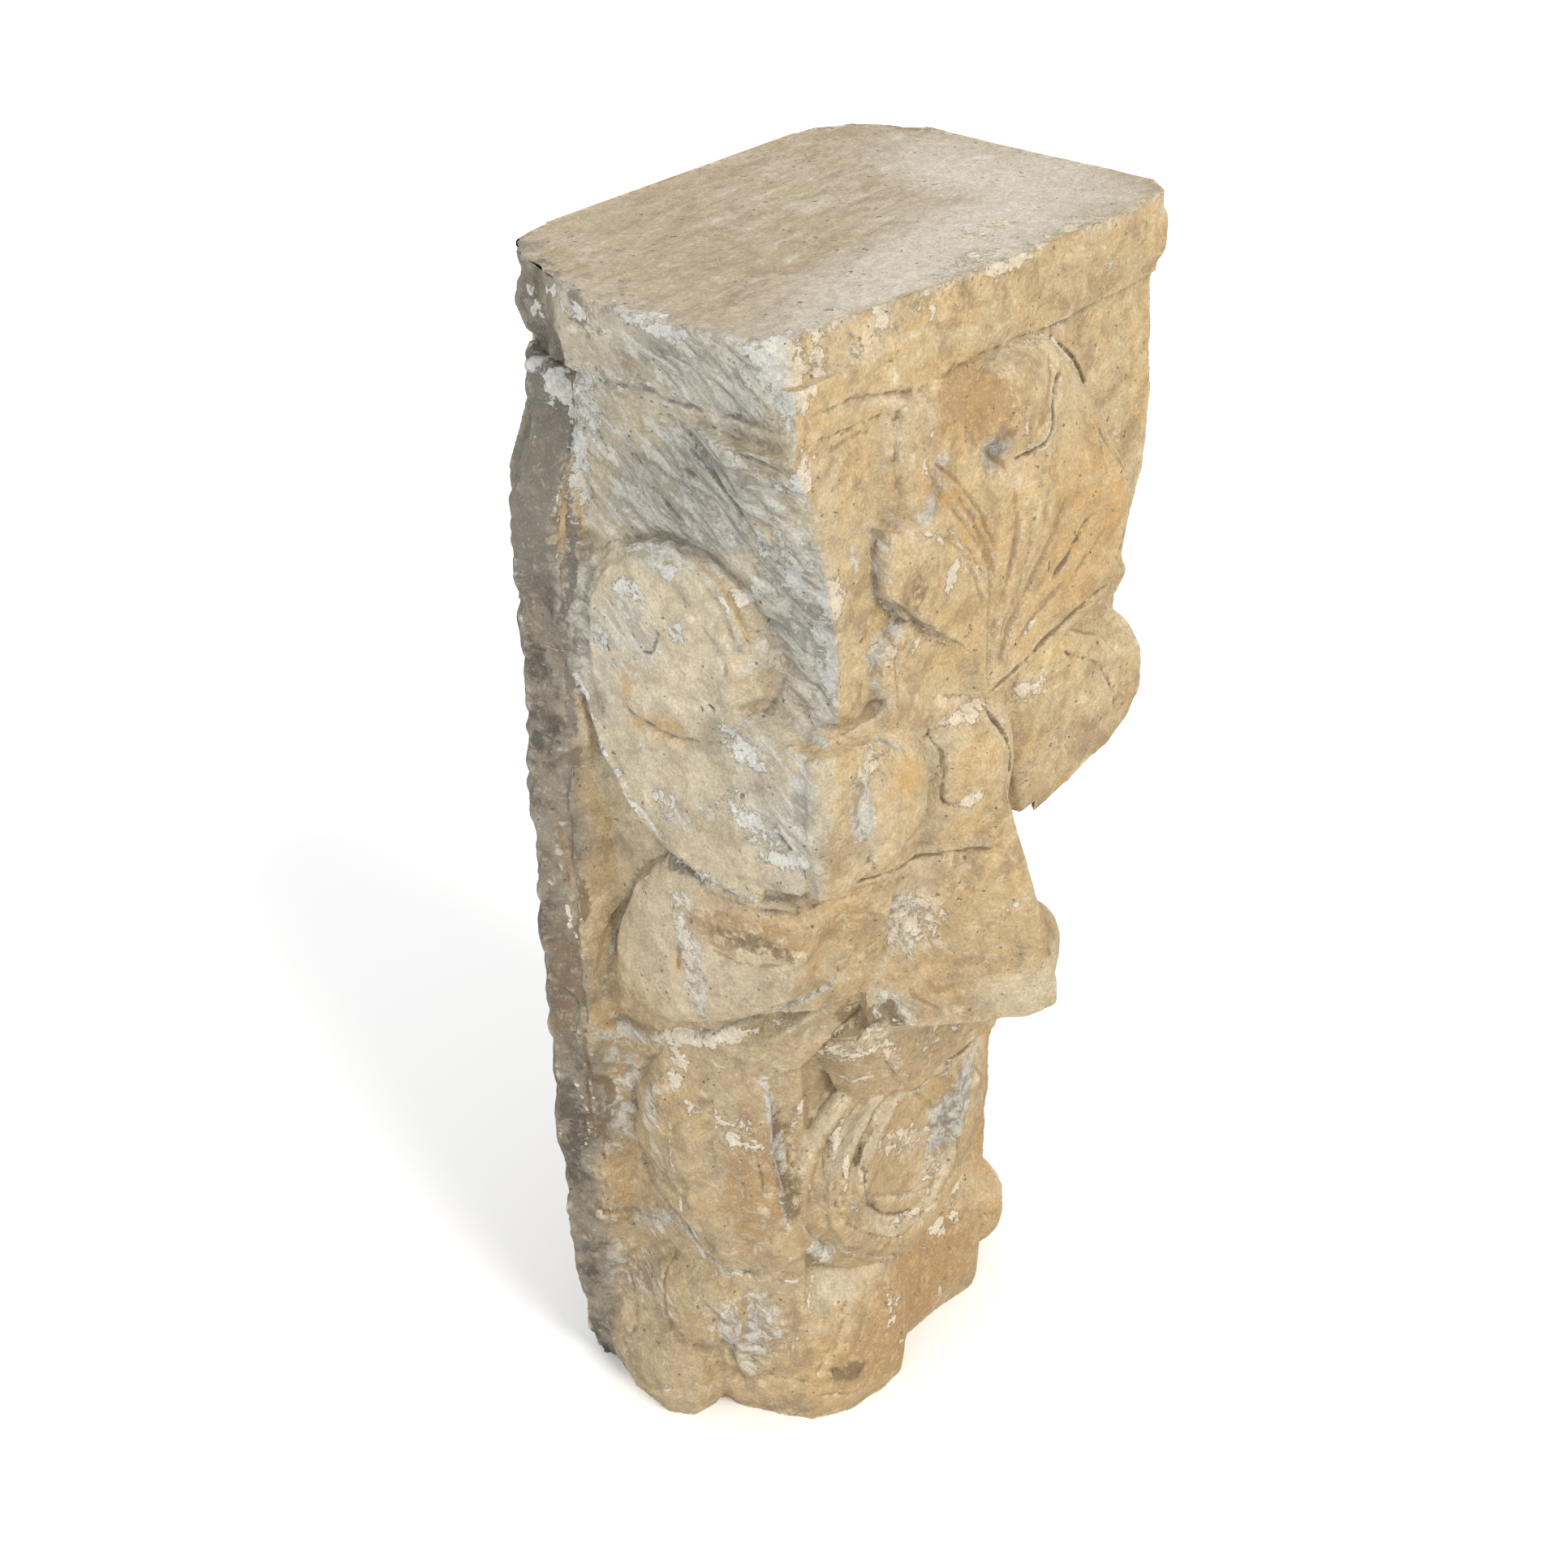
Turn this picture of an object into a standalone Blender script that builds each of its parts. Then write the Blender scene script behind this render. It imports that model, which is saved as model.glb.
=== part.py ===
"""Carved keystone with a grotesque mask, one block of limestone, standing on its underside.

Metres, +Z up. X runs across the front, the mask looks towards -Y, and the origin is under the
middle of the block. Heights on the carving are given as a drop below the top bed.
"""

import math

import bmesh
import bpy
from mathutils import Euler, Matrix, Vector

HEIGHT = 0.740
FRONT = -0.1025
BACK = 0.1025
FASCIA_HEIGHT = 0.044
REAR = 0.106
SPARE = 0.008
MERGE = 0.0001
VOXEL = 0.0052
MOST_TRIANGLES = 9000
STONE = (0.62, 0.50, 0.33, 1.0)

PART = "carved_keystone"


def clear_scene():
    for obj in list(bpy.data.objects):
        bpy.data.objects.remove(obj)


def collection(name):
    made = bpy.data.collections.new(name)
    bpy.context.scene.collection.children.link(made)
    return made


def place(x, y, drop):
    """A point of the carving from its offset, depth and drop below the top bed."""
    return Vector((x, y, HEIGHT - drop))


class Carver:
    """Collects closed forms in one mesh, which is fused into a single block at the end."""

    def __init__(self):
        self.mesh = bmesh.new()

    def add(self, form):
        """Takes over a bmesh whose faces form one closed body."""
        bmesh.ops.recalc_face_normals(form, faces=form.faces)
        holder = bpy.data.meshes.new("form")
        form.to_mesh(holder)
        form.free()
        self.mesh.from_mesh(holder)
        bpy.data.meshes.remove(holder)

    def blob(self, centre, radii, turn=(0, 0, 0), square=2.0):
        """A superellipsoid: square 2 is an ellipsoid, larger values are boxier."""
        form = bmesh.new()
        bmesh.ops.create_uvsphere(form, u_segments=28, v_segments=18, radius=1.0)
        for vert in form.verts:
            reach = sum(abs(part) ** square for part in vert.co) ** (1 / square)
            vert.co /= reach
        angles = Euler([math.radians(angle) for angle in turn])
        spin = angles.to_matrix().to_4x4()
        frame = Matrix.Translation(centre) @ spin @ Matrix.Diagonal((*radii, 1))
        bmesh.ops.transform(form, matrix=frame, verts=form.verts)
        self.add(form)

    def sweep(self, route, flat=(1, 1, 1), closed=False):
        """A round bar along (point, radius) stations, then flattened about its middle."""
        curve = bpy.data.curves.new("sweep", "CURVE")
        curve.dimensions = "3D"
        curve.bevel_depth = 1.0
        curve.bevel_resolution = 4
        curve.resolution_u = 6
        curve.use_fill_caps = not closed
        spline = curve.splines.new("BEZIER")
        spline.bezier_points.add(len(route) - 1)
        spline.use_cyclic_u = closed
        for station, (point, radius) in zip(spline.bezier_points, route):
            station.co = point
            station.radius = radius
            station.handle_left_type = "AUTO"
            station.handle_right_type = "AUTO"
        holder = bpy.data.objects.new("sweep", curve)
        bpy.context.scene.collection.objects.link(holder)
        bpy.context.view_layer.update()
        graph = bpy.context.evaluated_depsgraph_get()
        made = bpy.data.meshes.new_from_object(holder.evaluated_get(graph))
        form = bmesh.new()
        form.from_mesh(made)
        bmesh.ops.remove_doubles(form, verts=form.verts, dist=MERGE)
        middle = sum((vert.co for vert in form.verts), Vector()) / len(form.verts)
        squash = Matrix.Diagonal((*flat, 1)) @ Matrix.Translation(-middle)
        squash = Matrix.Translation(middle) @ squash
        bmesh.ops.transform(form, matrix=squash, verts=form.verts)
        bpy.data.objects.remove(holder)
        bpy.data.curves.remove(curve)
        bpy.data.meshes.remove(made)
        self.add(form)

    def hull(self, points):
        """The convex body round a few corner points."""
        form = bmesh.new()
        for point in points:
            form.verts.new(point)
        made = bmesh.ops.convex_hull(form, input=form.verts)
        spare = [item for item in made["geom_interior"] if isinstance(item, bmesh.types.BMVert)]
        bmesh.ops.delete(form, geom=spare, context="VERTS")
        self.add(form)

    def prism(self, outline, along):
        """A flat outline pushed along a vector."""
        form = bmesh.new()
        face = form.faces.new([form.verts.new(point) for point in outline])
        grown = bmesh.ops.extrude_face_region(form, geom=[face])
        moved = [item for item in grown["geom"] if isinstance(item, bmesh.types.BMVert)]
        bmesh.ops.translate(form, verts=moved, vec=along)
        self.add(form)

    def stack(self, rings):
        """A loft through level rings with the same number of points."""
        form = bmesh.new()
        rows = [[form.verts.new(point) for point in ring] for ring in rings]
        for lower, upper in zip(rows, rows[1:]):
            for index in range(len(lower)):
                following = (index + 1) % len(lower)
                form.faces.new((lower[index], lower[following], upper[following], upper[index]))
        form.faces.new(rows[0])
        form.faces.new(rows[-1])
        self.add(form)

    def boss(self, outline, facing, crown, side=1, root=0.035, flare=1.0):
        """A crowned plate: a convex outline that stands off along its facing with a crisp edge."""
        rim = [place(side * x, y, drop) for x, y, drop in outline]
        normal = Vector((side * facing[0], facing[1], -facing[2])).normalized()
        middle = sum(rim, Vector()) / len(rim)
        rings = ((flare, -root), (1.0, 0.0), (0.95, 0.42 * crown), (0.80, 0.78 * crown),
                 (0.55, 0.94 * crown), (0.25, crown))
        self.hull([
            middle + (point - middle) * scale + normal * lift
            for scale, lift in rings for point in rim
        ])


# Level by level: drop, left arris, front depth, flank half-width, back strip half-width, right
# arris, back.
LEVELS = (
    (0.053, 0.144, -0.1010, 0.142, 0.135, 0.157, 0.1060),
    (0.076, 0.131, -0.1010, 0.138, 0.135, 0.160, 0.1060),
    (0.118, 0.119, -0.1010, 0.135, 0.157, 0.166, 0.1060),
    (0.162, 0.109, -0.1010, 0.132, 0.154, 0.165, 0.1060),
    (0.205, 0.107, -0.1010, 0.130, 0.153, 0.150, 0.1060),
    (0.240, 0.104, -0.0980, 0.130, 0.153, 0.130, 0.1060),
    (0.330, 0.088, -0.0840, 0.126, 0.157, 0.080, 0.1060),
    (0.400, 0.086, -0.0780, 0.126, 0.154, 0.080, 0.1060),
    (0.520, 0.080, -0.0600, 0.125, 0.152, 0.094, 0.1060),
    (0.640, 0.080, -0.0600, 0.125, 0.148, 0.092, 0.1000),
    (0.710, 0.080, -0.0620, 0.120, 0.139, 0.092, 0.0940),
    (0.748, 0.078, -0.0560, 0.110, 0.128, 0.084, 0.0860),
)


def block_ring(drop, left, front, flank, strip, right, back):
    """One level of the plain mass, anticlockwise from the front right arris."""
    shoulder = max(right - 0.010, min(flank, 0.108))
    ring = [
        (right, front), (shoulder, -0.062), (flank, -0.020), (flank, 0.034),
        (strip - 0.006, 0.044), (strip, 0.060), (strip - 0.006, back - 0.026), (strip - 0.034, back),
        (0.032 - strip, back), (0.004 - strip, back - 0.027), (-strip - 0.003, 0.068), (0.006 - strip, 0.046),
        (-flank, 0.038), (0.003 - flank, -0.030), (-left - 0.010, -0.068), (-left, front),
    ]
    return [place(x, y, drop) for x, y in ring]


# The fascia in plan, at the top bed and at its foot: the worn front left corner is cut back above.
BED_TOP = (
    (-0.132, -0.090), (-0.067, -0.098), (0.110, -0.112), (0.150, -0.109), (0.162, -0.094),
    (0.159, 0.050), (0.143, 0.083), (0.090, REAR), (-0.080, REAR), (-0.130, 0.084), (-0.140, 0.058),
    (-0.153, 0.026), (-0.154, -0.012), (-0.149, -0.064),
)
BED_FOOT = (
    (-0.141, -0.1015), (-0.067, -0.1030), (0.110, -0.1060), (0.154, -0.106), (0.163, -0.094),
    (0.160, 0.050), (0.143, 0.083), (0.090, REAR), (-0.080, REAR), (-0.112, 0.090), (-0.126, 0.068),
    (-0.142, 0.044), (-0.143, 0.010), (-0.143, -0.088),
)


def bed_ring(drop, share):
    """One level of the fascia, between the plans of its top bed and its foot."""
    return [
        place(top[0] + (foot[0] - top[0]) * share, top[1] + (foot[1] - top[1]) * share, drop)
        for top, foot in zip(BED_TOP, BED_FOOT)
    ]


def carve_block(carver):
    """The plain mass: fascia, fillet, panelled front, hollowed flanks and rough back strip."""
    carver.stack([
        bed_ring(-SPARE, 0), bed_ring(FASCIA_HEIGHT * 0.3, 0.25), bed_ring(FASCIA_HEIGHT * 0.8, 0.9),
        bed_ring(FASCIA_HEIGHT + 0.002, 1),
    ])
    fillet = [
        (-0.142, FRONT + 0.001), (0.157, FRONT + 0.001), (0.160, -0.094), (0.158, 0.050),
        (-0.138, 0.040), (-0.141, -0.080),
    ]
    carver.prism([place(x, y, 0.020) for x, y in fillet], Vector((0, 0, -0.032)))
    neck = [
        (-0.128, -0.080), (0.132, -0.080), (0.134, 0.060), (0.128, 0.077), (0.100, 0.102),
        (0.090, REAR), (-0.080, REAR), (-0.098, 0.0975), (-0.112, 0.0895), (-0.125, 0.069),
        (-0.130, 0.056),
    ]
    carver.prism([place(x, y, 0.030) for x, y in neck], Vector((0, 0, -0.040)))
    carver.blob(place(0.146, -0.076, 0.026), (0.024, 0.034, 0.021), square=3)
    carver.blob(place(0.144, -0.010, 0.026), (0.020, 0.060, 0.020), square=4)
    carver.blob(place(-0.120, 0.071, 0.024), (0.017, 0.018, 0.018))
    carver.stack([block_ring(*level) for level in LEVELS])


# Outlines on the leaf: its shell, the folded lobe at its left, the small lobe at its right and its foot.
LEAF_SHELL = (
    (-0.070, -0.106, 0.046), (-0.074, -0.109, 0.084), (-0.060, -0.110, 0.130), (-0.038, -0.111, 0.180),
    (0.004, -0.113, 0.236), (0.063, -0.121, 0.220), (0.098, -0.125, 0.202), (0.110, -0.127, 0.157),
    (0.084, -0.118, 0.104), (0.062, -0.107, 0.060), (-0.043, -0.104, 0.045),
)
LEAF_LOBE = (
    (-0.083, -0.110, 0.106), (-0.042, -0.112, 0.124), (-0.010, -0.112, 0.190), (-0.061, -0.110, 0.166),
    (-0.081, -0.110, 0.144),
)
LEAF_SMALL_LOBE = (
    (0.100, -0.112, 0.172), (0.124, -0.112, 0.190), (0.134, -0.112, 0.211), (0.100, -0.112, 0.226),
)
LEAF_FOOT = (
    (-0.080, -0.106, 0.174), (-0.018, -0.108, 0.198), (-0.004, -0.108, 0.240), (-0.046, -0.108, 0.238),
    (-0.078, -0.106, 0.222),
)
LEAF_BASE = (0.004, -0.118, 0.230)
FLUTES = 6
FLUTE_DEPTH = 0.0022


def carve_leaf(carver):
    """The palmette on the forehead: a fluted shell that leans outward, with lobes and a curled tip."""
    carver.boss(LEAF_SHELL, (0.08, -1, 0), 0.007, root=0.012, flare=1.10)
    carver.boss(LEAF_LOBE, (0, -1, 0), 0.004)
    carver.boss(LEAF_SMALL_LOBE, (0.1, -1, 0), 0.005)
    carver.boss(LEAF_FOOT, (0, -1, 0), 0.003, root=0.012, flare=1.10)
    base = place(*LEAF_BASE)
    for index in range(FLUTES):
        turn = math.radians(-34 + 68 * index / (FLUTES - 1))
        reach = Vector((math.sin(turn), -0.06, math.cos(turn))) * 0.105
        carver.sweep([
            (base, 0.004), (base + reach * 0.5, 0.007), (base + reach, 0.010),
        ], flat=(1, FLUTE_DEPTH / 0.004, 1))
    carver.blob(place(0.010, -0.101, 0.078), (0.042, 0.024, 0.034), turn=(10, 0, 0))
    carver.blob(place(0.030, -0.113, 0.076), (0.028, 0.011, 0.026), turn=(8, 0, 0), square=2.6)


# The tail of a scroll on the flank, its end on the front, and the disc on the right of the brow.
VOLUTE_TAIL = (
    (0.138, 0.039, 0.180), (0.138, 0.038, 0.225), (0.138, 0.022, 0.264), (0.138, -0.005, 0.290),
    (0.137, -0.045, 0.302), (0.132, -0.098, 0.298), (0.131, -0.106, 0.226), (0.135, -0.050, 0.206),
)
TAIL_END = (
    (0.134, -0.104, 0.216), (0.100, -0.114, 0.214), (0.094, -0.114, 0.250), (0.096, -0.114, 0.296),
    (0.114, -0.113, 0.302), (0.130, -0.108, 0.298),
)
RIGHT_DISC = (
    (0.040, -0.118, 0.216), (0.072, -0.121, 0.222), (0.122, -0.122, 0.258), (0.128, -0.122, 0.284),
    (0.118, -0.121, 0.306), (0.094, -0.118, 0.320), (0.044, -0.113, 0.330), (0.030, -0.114, 0.240),
)


def flank_oval(out, deep, drop, wide, tall, count=18):
    """Points round an oval that faces sideways."""
    turns = [math.tau * index / count for index in range(count)]
    return [(out, deep + wide * math.cos(turn), drop + tall * math.sin(turn)) for turn in turns]


def carve_volutes(carver):
    """A scroll on each flank: a domed head, and a broad tail that sweeps under it to the front."""
    for side in (-1, 1):
        carver.boss(flank_oval(0.127, -0.015, 0.177, 0.053, 0.053), (1, 0, 0), 0.014, side)
        carver.boss(VOLUTE_TAIL, (1, -0.05, 0), 0.003, side)
        carver.boss(TAIL_END, (0.45, -1, 0), 0.004, side)
        rim = []
        for degrees in range(-170, -19, 30):
            turn = math.radians(degrees)
            y = -0.020 + 0.058 * math.cos(turn)
            rim.append((place(side * 0.136, y, 0.210 - 0.094 * math.sin(turn)), 0.0045))
        carver.sweep(rim)


def carve_brow(carver):
    """A knot on the forehead between the leaf and the nose, with a swelling brow each side."""
    carver.hull([
        place(x, y, drop)
        for x, y, drop in ((-0.118, -0.104, 0.210), (-0.060, -0.106, 0.214), (0.030, -0.110, 0.214),
                           (-0.118, -0.104, 0.300), (-0.060, -0.108, 0.320), (0.030, -0.114, 0.330),
                           (-0.110, -0.060, 0.205), (0.060, -0.060, 0.205), (-0.110, -0.060, 0.340),
                           (0.060, -0.060, 0.340))
    ])
    for across, deep, drop, wide, tall in (
        (-0.078, -0.096, 0.264, 0.037, 0.042), (-0.008, -0.100, 0.284, 0.040, 0.050),
    ):
        carver.blob(place(across, deep, drop), (wide, 0.027, tall), square=2.5)
    carver.boss(RIGHT_DISC, (0.12, -1, 0), 0.004)
    carver.blob(place(0.094, -0.096, 0.226), (0.022, 0.014, 0.020), square=2.4)
    carver.hull([
        place(x, y, drop)
        for x, y, drop in ((0.108, -0.117, 0.218), (0.134, -0.121, 0.243), (0.148, -0.121, 0.266),
                           (0.151, -0.121, 0.292), (0.145, -0.119, 0.306), (0.126, -0.118, 0.321),
                           (0.094, -0.112, 0.333), (0.066, -0.108, 0.342), (0.080, -0.110, 0.230),
                           (0.130, -0.060, 0.230), (0.120, -0.060, 0.350))
    ])


def carve_nose(carver):
    """A broad, jutting nose with a flat underside, its wings running back to the cheeks."""
    carver.hull([
        place(0.002, -0.136, 0.298), place(-0.020, -0.134, 0.302), place(-0.004, -0.152, 0.336),
        place(-0.012, -0.161, 0.366), place(0.000, -0.165, 0.366), place(0.004, -0.170, 0.396),
        place(0.004, -0.171, 0.412), place(-0.012, -0.164, 0.414), place(-0.045, -0.140, 0.412),
        place(-0.082, -0.104, 0.412), place(-0.066, -0.085, 0.300), place(0.050, -0.086, 0.300),
        place(0.066, -0.094, 0.410), place(0.028, -0.146, 0.412), place(0.046, -0.080, 0.436),
        place(-0.060, -0.080, 0.440),
    ])
    carver.blob(place(0.022, -0.132, 0.400), (0.018, 0.024, 0.030), square=2.6)


CHEEK = (
    (0.128, 0.017, 0.334), (0.130, 0.033, 0.370), (0.131, 0.037, 0.409), (0.131, 0.037, 0.437),
    (0.129, -0.029, 0.416), (0.120, -0.088, 0.376), (0.118, -0.096, 0.330), (0.125, -0.070, 0.302),
    (0.130, -0.010, 0.306),
)
JOWL = (
    (0.118, 0.003, 0.442), (0.123, 0.031, 0.496), (0.123, 0.031, 0.530), (0.119, 0.008, 0.580),
    (0.111, -0.032, 0.609), (0.105, -0.056, 0.608), (0.100, -0.074, 0.590), (0.102, -0.060, 0.510),
    (0.108, -0.040, 0.446),
)
CHEEK_FRONT = (
    (0.129, -0.051, 0.330), (0.127, -0.052, 0.400), (0.110, -0.087, 0.332), (0.104, -0.085, 0.396),
    (0.067, -0.108, 0.335), (0.070, -0.103, 0.390), (0.060, -0.070, 0.314), (0.060, -0.070, 0.400),
    (0.100, 0.000, 0.312), (0.100, 0.000, 0.400),
)
FOLD = (
    (0.124, 0.000, 0.446), (0.124, -0.022, 0.442), (0.112, -0.064, 0.420), (0.080, -0.096, 0.390),
    (0.066, -0.104, 0.374), (0.070, -0.098, 0.410), (0.098, -0.072, 0.446), (0.112, -0.036, 0.474),
    (0.122, 0.004, 0.474), (0.060, -0.060, 0.390), (0.080, 0.000, 0.480),
)


def sided(side, points):
    """Points mirrored to one side; the right of the face is cut back harder towards the front."""
    if side < 0:
        return [(x, y, drop) for x, y, drop in points]
    return [(min(x, 0.202 + 1.5 * y), y, drop) for x, y, drop in points]


def carve_cheeks(carver):
    """Swags down each flank: cheek, jowl, and the curls of the beard."""
    for side in (-1, 1):
        carver.boss(sided(side, CHEEK), (1, -0.12, 0), 0.010, side)
        for form in (CHEEK_FRONT, FOLD):
            carver.hull([place(side * x, y, drop) for x, y, drop in sided(side, form)])
        jowl = JOWL if side < 0 else sided(side, [(x - 0.010, y, drop + 0.040) for x, y, drop in JOWL])
        carver.boss(jowl, (1, -0.21, 0), 0.014 if side < 0 else 0.006, side)
        carver.blob(place(side * 0.116, -0.008, 0.648), (0.022, 0.034, 0.034), square=2.4)
        carver.blob(place(side * 0.106, 0.032, 0.688), (0.030, 0.052, 0.056), square=2.8)
    carver.blob(place(0.094, -0.052, 0.690), (0.024, 0.032, 0.036), square=2.3)


# Nested ovals of the mouth, from the trough to the lip: centre, half-width, half-height and depth.
MOUTH_OVALS = (
    (0.001, 0.556, 0.105, 0.100, -0.057), (0.000, 0.556, 0.100, 0.096, -0.062),
    (-0.002, 0.556, 0.087, 0.088, -0.075), (-0.010, 0.557, 0.066, 0.078, -0.092),
    (-0.014, 0.556, 0.056, 0.066, -0.095),
)


def oval(across, drop, half_width, half_height, depth, count=20):
    """Points round an oval that faces forward."""
    turns = [math.tau * index / count for index in range(count)]
    return [
        place(across + half_width * math.cos(turn), depth, drop + half_height * math.sin(turn))
        for turn in turns
    ]


# Rolled rings of the mouth: centre, half-width, half-height, depth at the sides and at the ends of
# the oval, and roll.
MOUTH_RINGS = (
    (-0.010, 0.552, 0.086, 0.080, -0.066, -0.080, 0.007),
    (-0.010, 0.552, 0.071, 0.070, -0.083, -0.090, 0.005),
    (-0.022, 0.548, 0.048, 0.056, -0.093, -0.094, 0.005),
)
RING_STATIONS = 16


def carve_mouth(carver):
    """A gaping mouth: a swelling lip in rolled rings, and a flat upper lip hanging over it."""
    carver.hull([point for ring in MOUTH_OVALS for point in oval(*ring)])
    for across, drop, half_width, half_height, side_depth, end_depth, roll in MOUTH_RINGS:
        ring = []
        for index in range(RING_STATIONS):
            turn = math.tau * index / RING_STATIONS
            depth = side_depth + (end_depth - side_depth) * math.sin(turn) ** 2
            x = across + half_width * math.cos(turn)
            ring.append((place(x, depth, drop + half_height * math.sin(turn)), roll))
        carver.sweep(ring, closed=True)
    carver.hull([
        place(x, y, drop)
        for x, y, drop in ((-0.088, -0.101, 0.414), (-0.060, -0.102, 0.452), (-0.036, -0.102, 0.486),
                           (0.044, -0.105, 0.487), (0.066, -0.103, 0.452), (0.080, -0.098, 0.414),
                           (-0.040, -0.112, 0.412), (0.040, -0.112, 0.412), (-0.090, -0.070, 0.436),
                           (-0.054, -0.074, 0.512), (0.080, -0.060, 0.420), (0.040, -0.070, 0.500))
    ])


CHIN = (
    (-0.101, 0.000), (-0.103, -0.028), (-0.099, -0.054), (-0.089, -0.075), (-0.066, -0.089),
    (-0.036, -0.095), (-0.018, -0.094), (-0.005, -0.085), (0.008, -0.078), (0.040, -0.079),
    (0.076, -0.084), (0.100, -0.068), (0.103, -0.030), (0.100, 0.020), (-0.090, 0.020),
)
CHIN_LEVELS = (
    (0.592, 0.95, 0.60), (0.622, 0.98, 0.76), (0.648, 1.00, 0.90), (0.680, 1.00, 0.97),
    (0.716, 1.00, 1.00), (0.732, 0.99, 0.99), (HEIGHT + SPARE, 0.97, 0.96),
)
# The curl on which the stone stands beside its chin: plan, and drop and scale level by level.
CURL = (
    (-0.125, 0.084), (-0.141, 0.040), (-0.144, 0.000), (-0.133, -0.019), (-0.108, -0.027),
    (-0.090, 0.000), (-0.090, 0.080),
)
CURL_LEVELS = ((0.655, 0.95), (0.690, 0.99), (0.716, 1.00), (0.734, 0.98), (HEIGHT + SPARE, 0.95))


def carve_chin(carver):
    """The square bearded chin and, beside it, the curls on which the stone stands."""
    carver.stack([
        [place(x * wide, y * deep, drop) for x, y in CHIN] for drop, wide, deep in CHIN_LEVELS
    ])
    for side in (-1, 1):
        carver.stack([
            [place(side * scale * x, y * scale, drop) for x, y in CURL] for drop, scale in CURL_LEVELS
        ])


def bounding_cutter():
    """The block's three dressed planes: top bed, underside and back."""
    bpy.ops.mesh.primitive_cube_add(size=1)
    cutter = bpy.context.object
    cutter.name = "dressed_planes"
    cutter.scale = (0.5, 0.4, HEIGHT)
    cutter.location = (0, BACK - 0.2, HEIGHT / 2)
    bpy.ops.object.transform_apply(location=True, rotation=False, scale=True)
    cutter.hide_render = True
    cutter.display_type = "WIRE"
    bpy.context.collection.objects.unlink(cutter)
    collection("cutters").objects.link(cutter)
    return cutter


def stone():
    material = bpy.data.materials.new("limestone")
    material.use_nodes = True
    shader = material.node_tree.nodes["Principled BSDF"]
    shader.inputs["Base Color"].default_value = STONE
    shader.inputs["Roughness"].default_value = 0.9
    shader.inputs["Metallic"].default_value = 0.0
    return material


def fuse(carver):
    """Joins the forms into one skin, softens and thins it, and cuts its three flat planes."""
    mesh = bpy.data.meshes.new(PART)
    carver.mesh.to_mesh(mesh)
    carver.mesh.free()
    block = bpy.data.objects.new(PART, mesh)
    collection(PART).objects.link(block)
    mesh.materials.append(stone())
    skin = block.modifiers.new("skin", "REMESH")
    skin.mode = "VOXEL"
    skin.voxel_size = VOXEL
    skin.adaptivity = 0
    soften = block.modifiers.new("soften", "SMOOTH")
    soften.factor = 0.5
    soften.iterations = 3
    thin = block.modifiers.new("thin", "DECIMATE")
    thin.use_collapse_triangulate = True
    thin.ratio = 0.1
    bpy.context.view_layer.update()
    made = block.evaluated_get(bpy.context.evaluated_depsgraph_get())
    made.data.calc_loop_triangles()
    thin.ratio *= MOST_TRIANGLES / len(made.data.loop_triangles)
    cutter = bounding_cutter()
    dress = block.modifiers.new("dress", "BOOLEAN")
    dress.operation = "INTERSECT"
    dress.solver = "EXACT"
    dress.object = cutter
    bpy.context.view_layer.update()
    made = block.evaluated_get(bpy.context.evaluated_depsgraph_get())
    for axis in (0, 1):
        ends = [vert.co[axis] for vert in made.data.vertices]
        block.location[axis] = cutter.location[axis] = -(min(ends) + max(ends)) / 2
    return block


def main():
    clear_scene()
    carver = Carver()
    carve_block(carver)
    carve_leaf(carver)
    carve_volutes(carver)
    carve_brow(carver)
    carve_nose(carver)
    carve_cheeks(carver)
    carve_mouth(carver)
    carve_chin(carver)
    fuse(carver)


main()
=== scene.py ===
"""Looks for the carved keystone: one block of weathered limestone with a grotesque mask.

The stone is built as one fine mesh in the frame of the CAD block, which it replaces, and carries a
procedural limestone. Metres, +Z up, the mask looks towards -Y. Outlines with (x, y, drop), strokes
and stains are listed in millimetres, with the drop measured down from the top bed.
"""

import math

import bmesh
import bpy
import numpy as np
from mathutils import Euler, Matrix, Vector


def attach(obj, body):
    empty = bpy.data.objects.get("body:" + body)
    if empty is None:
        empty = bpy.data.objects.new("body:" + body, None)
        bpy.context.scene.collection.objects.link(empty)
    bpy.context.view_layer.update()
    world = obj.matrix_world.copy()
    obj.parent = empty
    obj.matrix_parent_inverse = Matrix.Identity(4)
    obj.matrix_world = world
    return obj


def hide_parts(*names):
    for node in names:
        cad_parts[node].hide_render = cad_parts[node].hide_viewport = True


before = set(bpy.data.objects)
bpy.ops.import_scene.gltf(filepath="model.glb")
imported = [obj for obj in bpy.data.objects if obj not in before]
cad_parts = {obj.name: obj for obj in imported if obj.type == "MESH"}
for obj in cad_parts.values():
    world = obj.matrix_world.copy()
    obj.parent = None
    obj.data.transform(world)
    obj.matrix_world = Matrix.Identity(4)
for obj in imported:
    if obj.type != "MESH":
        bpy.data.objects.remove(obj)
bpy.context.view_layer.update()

HEIGHT = 0.74
FRONT = -0.1025
BACK = 0.1025
# From the frame in which the carving is listed to that of the CAD block.
SHIFT = (-0.0058, 0.0329, 0.0)
# Points of a bar's caps this close are welded.
MERGE = 0.0001
# The fineness of the fused skin.
VOXEL = 0.0014
MOST_TRIANGLES = 194000
SEED = 7
MILLIMETRE = 0.001
TONES = ("dark", "pale", "rust", "orange", "grey", "beige")
# Strokes that are painted in another tone, or fainter: tone and strength.
INKS = {"soft": ("dark", 0.42), "pale": ("pale", 0.75)}
# The thinnest painted stroke, in millimetres.
THINNEST = 1.1
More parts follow.
